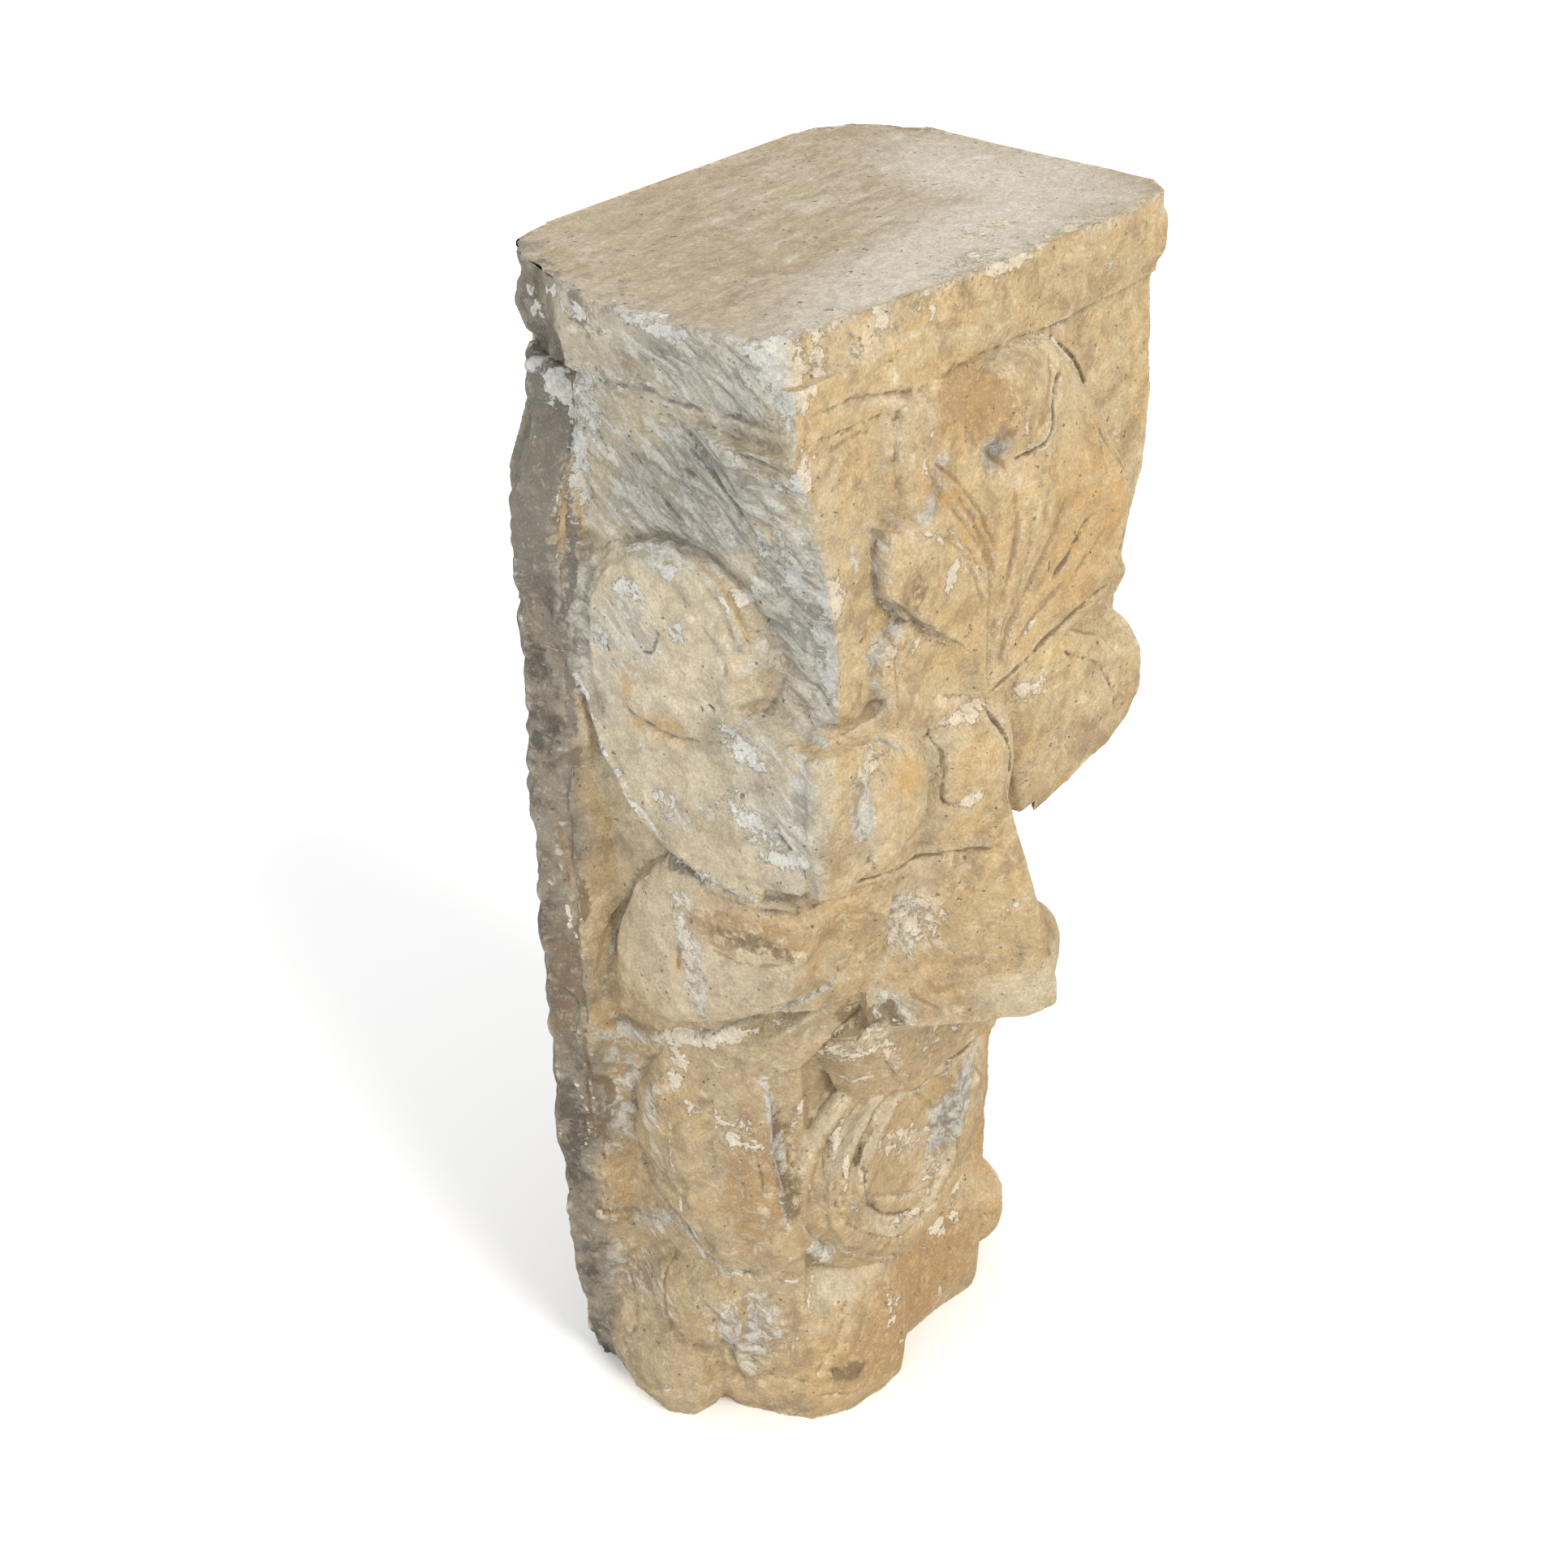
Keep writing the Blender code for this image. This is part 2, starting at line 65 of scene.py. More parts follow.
# Unevenness all over, of the rough strip behind and of the lower flanks: spacing, seed and height.
HEWN = ((0.055, 0, 0.0012), (0.022, 1, 0.0007), (0.01, 2, 0.0004), (0.005, 3, 0.00025))
ROUGH_STRIP = ((0.034, 4, 0.003), (0.012, 5, 0.0024), (0.006, 15, 0.001))
ROUGH_GROUND = ((0.016, 6, 0.0012), (0.008, 7, 0.0009))
# Streaks of the tooled flank: their run and their rise, spacing along and across, seed and height.
HATCHES = (
    ((0, -0.63, -0.78), (0, -0.78, 0.63), (0.03, 0.0045), 8, 0.0008),
    ((0, -0.9, -0.35), (0, -0.35, 0.9), (0.04, 0.006), 9, 0.0005),
)
# Flakes: spacing, seed, noise at which they start and end, and depth.
FLAKES = ((0.021, 10, 0.3, 0.36, 0.0009), (0.011, 11, 0.36, 0.43, 0.0006))
# The sunken left half of the mouth: centre, radii and turn of its oval, and its depth in metres.
MOUTH_HOLLOW = ((-20, 548), (42, 48), 15, 0.0045)
# Cuts of the left flank that end above this drop, in millimetres, are on the right flank too.
MIRRORED = 330
# The camera's direction from the stone, in degrees, what it looks at, and from how far.
CAMERA_AROUND = -50.22
CAMERA_ABOVE = 32.65
CAMERA_TARGET = (-0.0276, 0.0, 0.419)
CAMERA_DISTANCE = 1.2898
LENS = 52.17


def place(x, y, drop):
    """A point of the carving from its offset, depth and drop below the top bed."""
    return Vector((x, y, HEIGHT - drop))


def corners(outline, side=1):
    """Corner points from (x, y, drop) in millimetres; side -1 mirrors them."""
    return [
        place(side * x * MILLIMETRE, y * MILLIMETRE, drop * MILLIMETRE) for x, y, drop in outline
    ]


def put(name, data):
    """A new object in the scene."""
    holder = bpy.data.objects.new(name, data)
    bpy.context.scene.collection.objects.link(holder)
    return holder


def evaluated(holder):
    """The mesh of an object as its modifiers, or a curve's bevel, make it."""
    bpy.context.view_layer.update()
    graph = bpy.context.evaluated_depsgraph_get()
    return bpy.data.meshes.new_from_object(holder.evaluated_get(graph))


class Carver:
    """Collects closed forms in one mesh, which is fused into a single block at the end."""

    def __init__(self):
        self.mesh = bmesh.new()

    def add(self, form):
        """Takes over a bmesh whose faces form one closed body."""
        bmesh.ops.recalc_face_normals(form, faces=form.faces)
        holder = bpy.data.meshes.new("form")
        form.to_mesh(holder)
        form.free()
        self.mesh.from_mesh(holder)
        bpy.data.meshes.remove(holder)

    def blob(self, centre, radii, turn=(0, 0, 0), square=2.0):
        """A superellipsoid: square 2 is an ellipsoid, larger values are boxier."""
        form = bmesh.new()
        bmesh.ops.create_uvsphere(form, u_segments=48, v_segments=32, radius=1.0)
        for vert in form.verts:
            reach = sum(abs(part) ** square for part in vert.co) ** (1 / square)
            vert.co /= reach
        angles = Euler([math.radians(angle) for angle in turn])
        spin = angles.to_matrix().to_4x4()
        placed = Matrix.Translation(centre) @ spin @ Matrix.Diagonal((*radii, 1))
        bmesh.ops.transform(form, matrix=placed, verts=form.verts)
        self.add(form)

    def sweep(self, route, closed=False):
        """A round bar along (point, radius) stations."""
        curve = bpy.data.curves.new("sweep", "CURVE")
        curve.dimensions = "3D"
        curve.bevel_depth = 1.0
        curve.bevel_resolution = 8
        curve.resolution_u = 12
        curve.use_fill_caps = not closed
        spline = curve.splines.new("BEZIER")
        spline.bezier_points.add(len(route) - 1)
        spline.use_cyclic_u = closed
        for station, (point, radius) in zip(spline.bezier_points, route):
            station.co = point
            station.radius = radius
            station.handle_left_type = "AUTO"
            station.handle_right_type = "AUTO"
        holder = put("sweep", curve)
        made = evaluated(holder)
        form = bmesh.new()
        form.from_mesh(made)
        bmesh.ops.remove_doubles(form, verts=form.verts, dist=MERGE)
        bpy.data.objects.remove(holder)
        bpy.data.curves.remove(curve)
        bpy.data.meshes.remove(made)
        self.add(form)

    def hull(self, points):
        """The convex body round a few corner points."""
        form = bmesh.new()
        for point in points:
            form.verts.new(point)
        made = bmesh.ops.convex_hull(form, input=form.verts)
        spare = [item for item in made["geom_interior"] if isinstance(item, bmesh.types.BMVert)]
        bmesh.ops.delete(form, geom=spare, context="VERTS")
        self.add(form)

    def prism(self, outline, along):
        """A flat outline pushed along a vector."""
        form = bmesh.new()
        face = form.faces.new([form.verts.new(point) for point in outline])
        grown = bmesh.ops.extrude_face_region(form, geom=[face])
        moved = [item for item in grown["geom"] if isinstance(item, bmesh.types.BMVert)]
        bmesh.ops.translate(form, verts=moved, vec=along)
        self.add(form)

    def stack(self, rings):
        """A loft through level rings with the same number of points."""
        form = bmesh.new()
        rows = [[form.verts.new(point) for point in ring] for ring in rings]
        for lower, upper in zip(rows, rows[1:]):
            for index in range(len(lower)):
                following = (index + 1) % len(lower)
                form.faces.new((lower[index], lower[following], upper[following], upper[index]))
        form.faces.new(rows[0])
        form.faces.new(rows[-1])
        self.add(form)

    def boss(self, outline, facing, crown, side=1, root=0.035, flare=1.0):
        """A crowned plate: a convex outline that stands off along its facing with a crisp edge."""
        rim = corners(outline, side)
        normal = Vector((side * facing[0], facing[1], -facing[2])).normalized()
        middle = sum(rim, Vector()) / len(rim)
        rings = ((flare, -root), (1.0, 0.0), (0.95, 0.42 * crown), (0.8, 0.78 * crown),
                 (0.55, 0.94 * crown), (0.25, crown))
        self.hull([
            middle + (point - middle) * scale + normal * lift
            for scale, lift in rings for point in rim
        ])


# Level by level: drop, left arris, front depth, flank half-width, back strip half-width, right
# arris, back.
LEVELS = (
    (0.051, 0.144, -0.101, 0.142, 0.135, 0.157, 0.1025),
    (0.076, 0.131, -0.101, 0.138, 0.135, 0.16, 0.1025),
    (0.118, 0.119, -0.101, 0.135, 0.157, 0.166, 0.1025),
    (0.162, 0.109, -0.101, 0.132, 0.154, 0.165, 0.1025),
    (0.205, 0.107, -0.101, 0.13, 0.153, 0.15, 0.1025),
    (0.24, 0.104, -0.098, 0.13, 0.153, 0.13, 0.1025),
    (0.33, 0.088, -0.084, 0.126, 0.157, 0.08, 0.1025),
    (0.4, 0.086, -0.078, 0.126, 0.154, 0.08, 0.1025),
    (0.52, 0.08, -0.06, 0.125, 0.152, 0.094, 0.1025),
    (0.64, 0.08, -0.06, 0.125, 0.148, 0.092, 0.1),
    (0.71, 0.08, -0.062, 0.12, 0.139, 0.092, 0.094),
    (0.74, 0.078, -0.056, 0.11, 0.128, 0.084, 0.086),
)


def block_ring(drop, left, front, flank, strip, right, back):
    """One level of the plain mass, anticlockwise from the front right arris."""
    shoulder = max(right - 0.01, min(flank, 0.108))
    ring = [
        (right, front), (shoulder, -0.062), (flank, -0.02), (flank, 0.034), (strip - 0.006, 0.044),
        (strip, 0.06), (strip - 0.006, back - 0.026), (strip - 0.034, back), (0.032 - strip, back),
        (0.004 - strip, back - 0.027), (-strip - 0.003, 0.068), (0.006 - strip, 0.046),
        (-flank, 0.038), (0.003 - flank, -0.03), (-left - 0.01, -0.068), (-left, front),
    ]
    return [place(x, y, drop) for x, y in ring]


# The fascia in plan, at the top bed and at its foot: the worn front left corner is cut back above.
BED_TOP = (
    (-0.132, -0.09), (-0.067, -0.098), (0.02, -0.106), (0.11, -0.112), (0.15, -0.109),
    (0.162, -0.094), (0.159, 0.05), (0.143, 0.083), (0.118, 0.099), (0.09, BACK), (-0.08, BACK),
    (-0.118, 0.097), (-0.13, 0.084), (-0.14, 0.058), (-0.153, 0.026), (-0.154, -0.012),
    (-0.149, -0.045), (-0.149, -0.064), (-0.142, -0.081),
)
BED_FOOT = (
    (-0.141, -0.1015), (-0.067, -0.103), (0.02, -0.1045), (0.11, -0.106), (0.154, -0.106),
    (0.163, -0.094), (0.16, 0.05), (0.143, 0.083), (0.118, 0.099), (0.09, BACK), (-0.08, BACK),
    (-0.098, 0.098), (-0.112, 0.09), (-0.126, 0.068), (-0.142, 0.044), (-0.143, 0.01),
    (-0.142, -0.03), (-0.142, -0.06), (-0.143, -0.088),
)


def bed_ring(drop, share):
    """One level of the fascia, between the plans of its top bed and its foot."""
    return [
        place(top[0] + (foot[0] - top[0]) * share, top[1] + (foot[1] - top[1]) * share, drop)
        for top, foot in zip(BED_TOP, BED_FOOT)
    ]


def carve_block(carver):
    """The plain mass: fascia, fillet, panelled front, hollowed flanks and rough back strip."""
    carver.stack([bed_ring(0, 0), bed_ring(0.014, 0.25), bed_ring(0.034, 0.9), bed_ring(0.046, 1)])
    fillet = [
        (-0.142, FRONT + 0.001), (0.157, FRONT + 0.001), (0.16, -0.094), (0.158, 0.05),
        (-0.138, 0.04), (-0.141, 0.01), (-0.141, -0.08),
    ]
    carver.prism([place(x, y, 0.02) for x, y in fillet], Vector((0, 0, -0.032)))
    # The fascia rests on a neck a little narrower than itself.
    neck = [
        (-0.128, -0.08), (0.132, -0.08), (0.134, 0.06), (0.128, 0.077), (0.1, 0.101),
        (0.09, BACK), (-0.08, BACK), (-0.098, 0.0975), (-0.112, 0.0895), (-0.125, 0.069),
        (-0.13, 0.056),
    ]
    carver.prism([place(x, y, 0.036) for x, y in neck], Vector((0, 0, -0.03)))
    # Swellings of the fascia at its front right corner, right side and back left corner.
    carver.blob(place(0.146, -0.076, 0.026), (0.024, 0.034, 0.021), square=3)
    carver.blob(place(0.144, -0.01, 0.026), (0.02, 0.06, 0.02), square=4)
    carver.blob(place(-0.12, 0.071, 0.024), (0.017, 0.018, 0.018), square=2.2)
    carver.stack([block_ring(*level) for level in LEVELS])


LEAF_SHELL = (
    (-70, -106, 46), (-75, -107, 62), (-73, -109, 92), (-60, -110, 130), (-38, -111, 180),
    (4, -113, 236), (17, -116, 232), (63, -121, 220), (96, -125, 206), (104, -127, 188),
    (110, -127, 157), (103, -126, 132), (84, -118, 104), (84, -109, 86), (62, -107, 60), (46, -105, 50),
    (-43, -104, 45),
)
LEAF_LOBE = (
    (-83, -110, 106), (-42, -112, 124), (-10, -112, 190), (-26, -111, 196), (-61, -110, 166),
    (-81, -110, 144),
)
LEAF_SMALL_LOBE = (
    (100, -112, 172), (124, -112, 190), (134, -112, 211), (124, -112, 223), (100, -112, 226),
)
LEAF_TIP = (
    (-8, -113, 47), (2, -118, 59), (8, -121, 74), (18, -123, 94), (30, -123, 101), (41, -122, 93),
    (47, -119, 84), (58, -115, 73), (56, -111, 62), (50, -108, 49), (10, -108, 43),
)
LEAF_FOOT = (
    (-80, -106, 174), (-62, -108, 166), (-18, -108, 198), (-4, -108, 240), (-46, -108, 238),
    (-50, -108, 222), (-78, -106, 222),
)


def carve_leaf(carver):
    """The palmette on the forehead: a shell that leans outward, with side lobes and a curled tip."""
    carver.boss(LEAF_SHELL, (0.08, -1, 0), 0.007, root=0.012, flare=1.1)
    carver.boss(LEAF_LOBE, (0, -1, 0), 0.004)
    carver.boss(LEAF_SMALL_LOBE, (0.1, -1, 0), 0.005)
    carver.boss(LEAF_FOOT, (0, -1, 0), 0.003, root=0.012, flare=1.1)
    carver.blob(place(0.01, -0.101, 0.078), (0.042, 0.024, 0.034), turn=(10, 0, 0))
    carver.boss(LEAF_TIP, (0.1, -1, -0.1), 0.003)


VOLUTE_HEAD = (
    (132, 38, 190), (132, 36, 166), (132, 26, 142), (132, 8, 128), (132, -20, 123), (132, -36, 126),
    (129, -50, 134), (125, -61, 146), (122, -67, 160), (121, -70, 177), (122, -65, 197),
    (126, -51, 213), (130, -36, 222), (132, 10, 226), (132, 36, 214),
)
VOLUTE_EYE = (
    (142, 35, 190), (142, 32, 166), (142, 22, 147), (142, 4, 134), (142, -14, 130), (142, -30, 134),
    (140, -47, 145), (138, -56, 160), (137, -60, 181), (137, -54, 202), (138, -39, 217), (140, 10, 222),
    (141, 34, 212),
)
VOLUTE_TAIL = (
    (138, 39, 180), (138, 39, 210), (138, 33, 240), (138, 22, 264), (138, 5, 283), (138, -20, 297),
    (137, -45, 302), (135, -70, 302), (132, -98, 298), (131, -106, 270), (131, -106, 226),
    (132, -90, 212), (135, -50, 206),
)
TAIL_END = (
    (134, -104, 216), (122, -112, 212), (100, -114, 214), (94, -114, 250), (96, -114, 296),
    (114, -113, 302), (130, -108, 298), (134, -104, 260),
)
RIGHT_DISC = (
    (40, -118, 216), (72, -121, 222), (100, -122, 236), (122, -122, 258), (128, -122, 284),
    (118, -121, 306), (94, -118, 320), (44, -113, 330), (34, -112, 290), (30, -114, 240),
)


def carve_volutes(carver):
    """A scroll on each flank: a domed head, and a broad tail that sweeps under it to the front."""
    for side in (-1, 1):
        root = tuple((100, y, drop) for _, y, drop in VOLUTE_HEAD)
        carver.hull(corners(VOLUTE_HEAD + VOLUTE_EYE + root, side))
        carver.boss(VOLUTE_TAIL, (1, -0.05, 0), 0.003, side)
        carver.boss(TAIL_END, (0.45, -1, 0), 0.004, side)
        # The roll round the head and on along the tail's lower edge.
        rim = []
        for degrees in range(20, 171, 15):
            turn = math.radians(degrees)
            y = -0.015 - 0.053 * math.cos(turn)
            rim.append((place(side * 0.135, y, 0.184 - 0.058 * math.sin(turn)), 0.003))
        for y, drop in ((0.041, 0.19), (0.041, 0.215), (0.036, 0.24), (0.023, 0.268),
                        (0.005, 0.288), (-0.02, 0.301), (-0.045, 0.306), (-0.075, 0.306)):
            rim.append((place(side * 0.136, y, drop), 0.0045))
        carver.sweep(rim)


def carve_brow(carver):
    """A knot on the forehead between the leaf and the nose, with a swelling brow each side."""
    carver.hull(corners((
        (-118, -104, 210), (-60, -106, 214), (30, -110, 214), (-118, -104, 300), (-60, -108, 320),
        (30, -114, 330), (-110, -60, 205), (60, -60, 205), (-110, -60, 340), (60, -60, 340),
    )))
    for across, deep, drop, wide, tall in (
        (-0.078, -0.096, 0.264, 0.037, 0.042), (-0.008, -0.1, 0.284, 0.04, 0.05),
    ):
        carver.blob(place(across, deep, drop), (wide, 0.027, tall), square=2.5)
    carver.boss(RIGHT_DISC, (0.12, -1, 0), 0.004)
    carver.blob(place(0.094, -0.096, 0.226), (0.022, 0.014, 0.02), square=2.4)
    carver.hull(corners((
        (108, -117, 218), (134, -121, 243), (148, -121, 266), (151, -121, 292), (145, -119, 306),
        (126, -118, 321), (94, -112, 333), (66, -108, 342), (80, -110, 230), (130, -60, 230),
        (120, -60, 350),
    )))


def carve_nose(carver):
    """A broad, jutting nose with a flat underside, its wings running back to the cheeks."""
    carver.hull(corners((
        (2, -136, 298), (-20, -134, 302), (-4, -152, 336), (-12, -161, 366), (0, -165, 366),
        (4, -170, 396), (4, -171, 412), (-12, -164, 414), (-45, -140, 412), (-82, -104, 412),
        (-66, -85, 300), (50, -86, 300), (66, -94, 410), (28, -146, 412), (46, -80, 436),
        (-60, -80, 440),
    )))
    carver.blob(place(0.022, -0.132, 0.4), (0.018, 0.024, 0.03), square=2.6)


CHEEK = (
    (128, 17, 334), (130, 33, 370), (131, 37, 409), (131, 37, 437), (130, -7, 427), (129, -29, 416),
    (126, -64, 394), (120, -88, 376), (118, -96, 330), (125, -70, 302), (130, -10, 306),
)
JOWL = (
    (118, 3, 442), (121, 20, 465), (123, 31, 496), (123, 31, 530), (122, 24, 558), (119, 8, 580),
    (116, -8, 598), (111, -32, 609), (105, -56, 608), (100, -74, 590), (100, -68, 550), (102, -60, 510),
    (104, -56, 470), (108, -40, 446),
)


def sided(side, points):
    """An outline for one side; the right of the face is cut back harder towards the front."""
    if side < 0:
        return points
    return [(min(x, 202 + 1.5 * y), y, drop) for x, y, drop in points]


CHEEK_FRONT = (
    (128, -50, 310), (130, -52, 350), (127, -52, 400), (108, -88, 316), (112, -86, 350),
    (104, -85, 396), (64, -108, 320), (70, -107, 350), (70, -103, 390), (60, -70, 314), (60, -70, 400),
    (100, 0, 312), (100, 0, 400),
)
FOLD = (
    (124, 0, 446), (124, -22, 442), (112, -64, 420), (80, -96, 390), (66, -104, 374), (70, -98, 410),
    (88, -84, 428), (98, -72, 446), (112, -36, 474), (122, 4, 474), (60, -60, 390), (80, 0, 440),
    (80, 0, 480),
)


def carve_cheeks(carver):
    """Swags down each flank: cheek, jowl, and the curls of the beard."""
    for side in (-1, 1):
        carver.boss(sided(side, CHEEK), (1, -0.12, 0), 0.01, side)
        for form in (CHEEK_FRONT, FOLD):
            carver.hull(corners(sided(side, form), side))
        jowl = JOWL if side < 0 else sided(side, [(x - 10, y, drop + 40) for x, y, drop in JOWL])
        carver.boss(jowl, (1, -0.21, 0), 0.014 if side < 0 else 0.006, side)
        carver.blob(place(side * 0.116, -0.008, 0.648), (0.022, 0.034, 0.034), square=2.4)
        carver.blob(place(side * 0.106, 0.032, 0.688), (0.03, 0.052, 0.056), square=2.8)
    carver.blob(place(0.094, -0.052, 0.69), (0.024, 0.032, 0.036), square=2.3)


# Nested ovals of the mouth, from the trough to the lip: centre, half-width, half-height and depth.
MOUTH_OVALS = (
    (0.001, 0.556, 0.105, 0.1, -0.057), (0.0, 0.556, 0.1, 0.096, -0.062),
    (-0.002, 0.556, 0.087, 0.088, -0.075), (-0.01, 0.557, 0.066, 0.078, -0.092),
    (-0.014, 0.556, 0.056, 0.066, -0.095),
)


def oval(across, drop, half_width, half_height, depth, count=28):
    """Points round an oval that faces forward."""
    turns = [math.tau * index / count for index in range(count)]
    return [
        place(across + half_width * math.cos(turn), depth, drop + half_height * math.sin(turn))
        for turn in turns
    ]


# Rolled rings of the mouth: centre, half-width, half-height, depth at the sides and at the ends of
# the oval, and roll.
MOUTH_RINGS = (
    (-0.01, 0.552, 0.086, 0.08, -0.066, -0.08, 0.007),
    (-0.01, 0.552, 0.071, 0.07, -0.083, -0.09, 0.005),
    (-0.022, 0.548, 0.048, 0.056, -0.093, -0.094, 0.005),
)
RING_STATIONS = 16


def carve_mouth(carver):
    """A gaping mouth: a swelling lip in rolled rings, and a flat upper lip hanging over it."""
    carver.hull([point for ring in MOUTH_OVALS for point in oval(*ring)])
    for across, drop, half_width, half_height, side_depth, end_depth, roll in MOUTH_RINGS:
        ring = []
        for index in range(RING_STATIONS):
            turn = math.tau * index / RING_STATIONS
            depth = side_depth + (end_depth - side_depth) * math.sin(turn) ** 2
            x = across + half_width * math.cos(turn)
            ring.append((place(x, depth, drop + half_height * math.sin(turn)), roll))
        carver.sweep(ring, closed=True)
    carver.hull(corners((
        (-88, -101, 414), (-60, -102, 452), (-36, -102, 486), (44, -105, 487), (66, -103, 452),
        (80, -98, 414), (-40, -112, 412), (40, -112, 412), (-90, -70, 436), (-54, -74, 512),
        (80, -60, 420), (40, -70, 500),
    )))


# The chin in plan, and its levels: drop, and how wide and how deep it is there.
CHIN = (
    (-0.101, 0.0), (-0.103, -0.028), (-0.099, -0.054), (-0.089, -0.075), (-0.066, -0.089),
    (-0.036, -0.095), (-0.018, -0.094), (-0.005, -0.085), (0.008, -0.078), (0.04, -0.079),
    (0.076, -0.084), (0.1, -0.068), (0.103, -0.03), (0.1, 0.02), (-0.09, 0.02),
)
CHIN_LEVELS = (
    (0.592, 0.95, 0.6), (0.622, 0.98, 0.76), (0.648, 1.0, 0.9), (0.68, 1.0, 0.97),
    (0.716, 1.0, 1.0), (0.732, 0.99, 0.99), (0.74, 0.98, 0.97),
)
LEFT_FOOT = (
    (-120, 84, 740), (-135, 40, 740), (-141, 2, 740), (-132, -13, 740), (-106, -19, 740), (-90, 0, 740),
    (-90, 80, 740), (-124, 84, 712), (-142, 38, 712), (-144, 0, 716), (-133, -19, 716),
    (-108, -27, 716), (-134, 62, 660), (-136, 20, 660), (-128, -12, 666), (-108, -24, 670),
    (-90, 0, 650), (-90, 60, 650),
)


def carve_chin(carver):
    """The square bearded chin and, beside it, the curls on which the stone stands."""
    carver.stack([
        [place(x * wide, y * deep, drop) for x, y in CHIN] for drop, wide, deep in CHIN_LEVELS
    ])
    carver.hull(corners(LEFT_FOOT))
    carver.hull(corners([(10 - x, y, drop) for x, y, drop in LEFT_FOOT]))


def fuse(carver):
    """Joins the forms into one softened skin and returns its mesh."""
    mesh = bpy.data.meshes.new("skin")
    carver.mesh.to_mesh(mesh)
    carver.mesh.free()
    block = put("skin", mesh)
    skin = block.modifiers.new("skin", "REMESH")
    skin.mode = "VOXEL"
    skin.voxel_size = VOXEL
    soften = block.modifiers.new("soften", "SMOOTH")
    soften.factor = 0.5
    soften.iterations = 3
    made = evaluated(block)
    bpy.data.objects.remove(block)
    bpy.data.meshes.remove(mesh)
    return made


def rows_of(items, key, width, kind=float):
    """What a mesh's points or edges hold under a key, as rows of numbers."""
    values = np.empty(len(items) * width, kind)
    items.foreach_get(key, values)
    return values.reshape(-1, width)


def blurred(values, edges, rounds):
    """Averages each point's value with its neighbours', a number of times."""
    count = len(values)
    one, two = edges[:, 0], edges[:, 1]
    shares = np.bincount(one, minlength=count) + np.bincount(two, minlength=count)
    values = values.copy()
    for _ in range(rounds):
        for column in range(values.shape[1]):
            value = values[:, column]
            total = np.bincount(one, value[two], count) + np.bincount(two, value[one], count)
            values[:, column] = 0.5 * value + 0.5 * total / np.maximum(shares, 1)
    return values


def noise(points, spacing, seed):
    """Smooth random values from -1 to 1 on a lattice of the given spacing."""
    spot = points / spacing
    low = np.floor(spot).astype(np.int64)
    part = spot - low
    part = part * part * (3 - 2 * part)
    total = np.zeros(len(points))
    for corner in range(8):
        shift = np.array([corner & 1, corner >> 1 & 1, corner >> 2 & 1])
        cell = low + shift
        key = cell[:, 0] * 73856093 ^ cell[:, 1] * 19349663 ^ cell[:, 2] * 83492791 ^ seed * 40503
        key = (key ^ key >> 13) * 1274126177 & 0xFFFFFFFF
        key = (key ^ key >> 16) * 73244475 & 0xFFFFFFFF
        value = ((key ^ key >> 15) & 0xFFFF) / 32767.5 - 1
        total += value * np.where(shift, part, 1 - part).prod(1)
    return total


def layered(points, layers):
    """Noise of several spacings together."""
    return sum(noise(points, spacing, SEED + seed) * height for spacing, seed, height in layers)


def ramp(values, low, high):
    """0 below low and 1 above high, with a smooth climb between."""
    part = np.clip((values - low) / (high - low), 0, 1)
    return part * part * (3 - 2 * part)


def smooth(route, steps=5):
    """A curve through the points of a route."""
    spots = np.array(route, float)
    before, after = 2 * spots[0] - spots[1], 2 * spots[-1] - spots[-2]
    knots = np.concatenate([[before], spots, [after]])
    curve = []
    for one, two, three, four in zip(knots, knots[1:], knots[2:], knots[3:]):
        for part in np.arange(steps) / steps:
            bend = 2 * one - 5 * two + 4 * three - four
            twist = 3 * two - one - 3 * three + four
            curve.append(0.5 * (2 * two + (three - one) * part + bend * part**2 + twist * part**3))
    return np.array(curve + [spots[-1]])


def track(flat, route):
    """Each point's distance from a polyline, its side, and how far along it is from 0 to 1."""
    best = np.full(len(flat), 9.0)
    share = np.zeros(len(flat))
    right = np.zeros(len(flat), bool)
    lengths = np.linalg.norm(np.diff(route, axis=0), axis=1)
    starts = np.concatenate([[0], np.cumsum(lengths)])
    for start, end, length, before in zip(route, route[1:], lengths, starts):
        run = (end - start) / length
        offset = flat - start
        step = np.clip(offset @ run, 0, length)
        gap = offset - step[:, None] * run
        far = np.hypot(gap[:, 0], gap[:, 1])
        nearer = far < best
        best = np.where(nearer, far, best)
        share = np.where(nearer, (before + step) / starts[-1], share)
        right = np.where(nearer, run[0] * gap[:, 1] - run[1] * gap[:, 0] > 0, right)
    return best, share, right


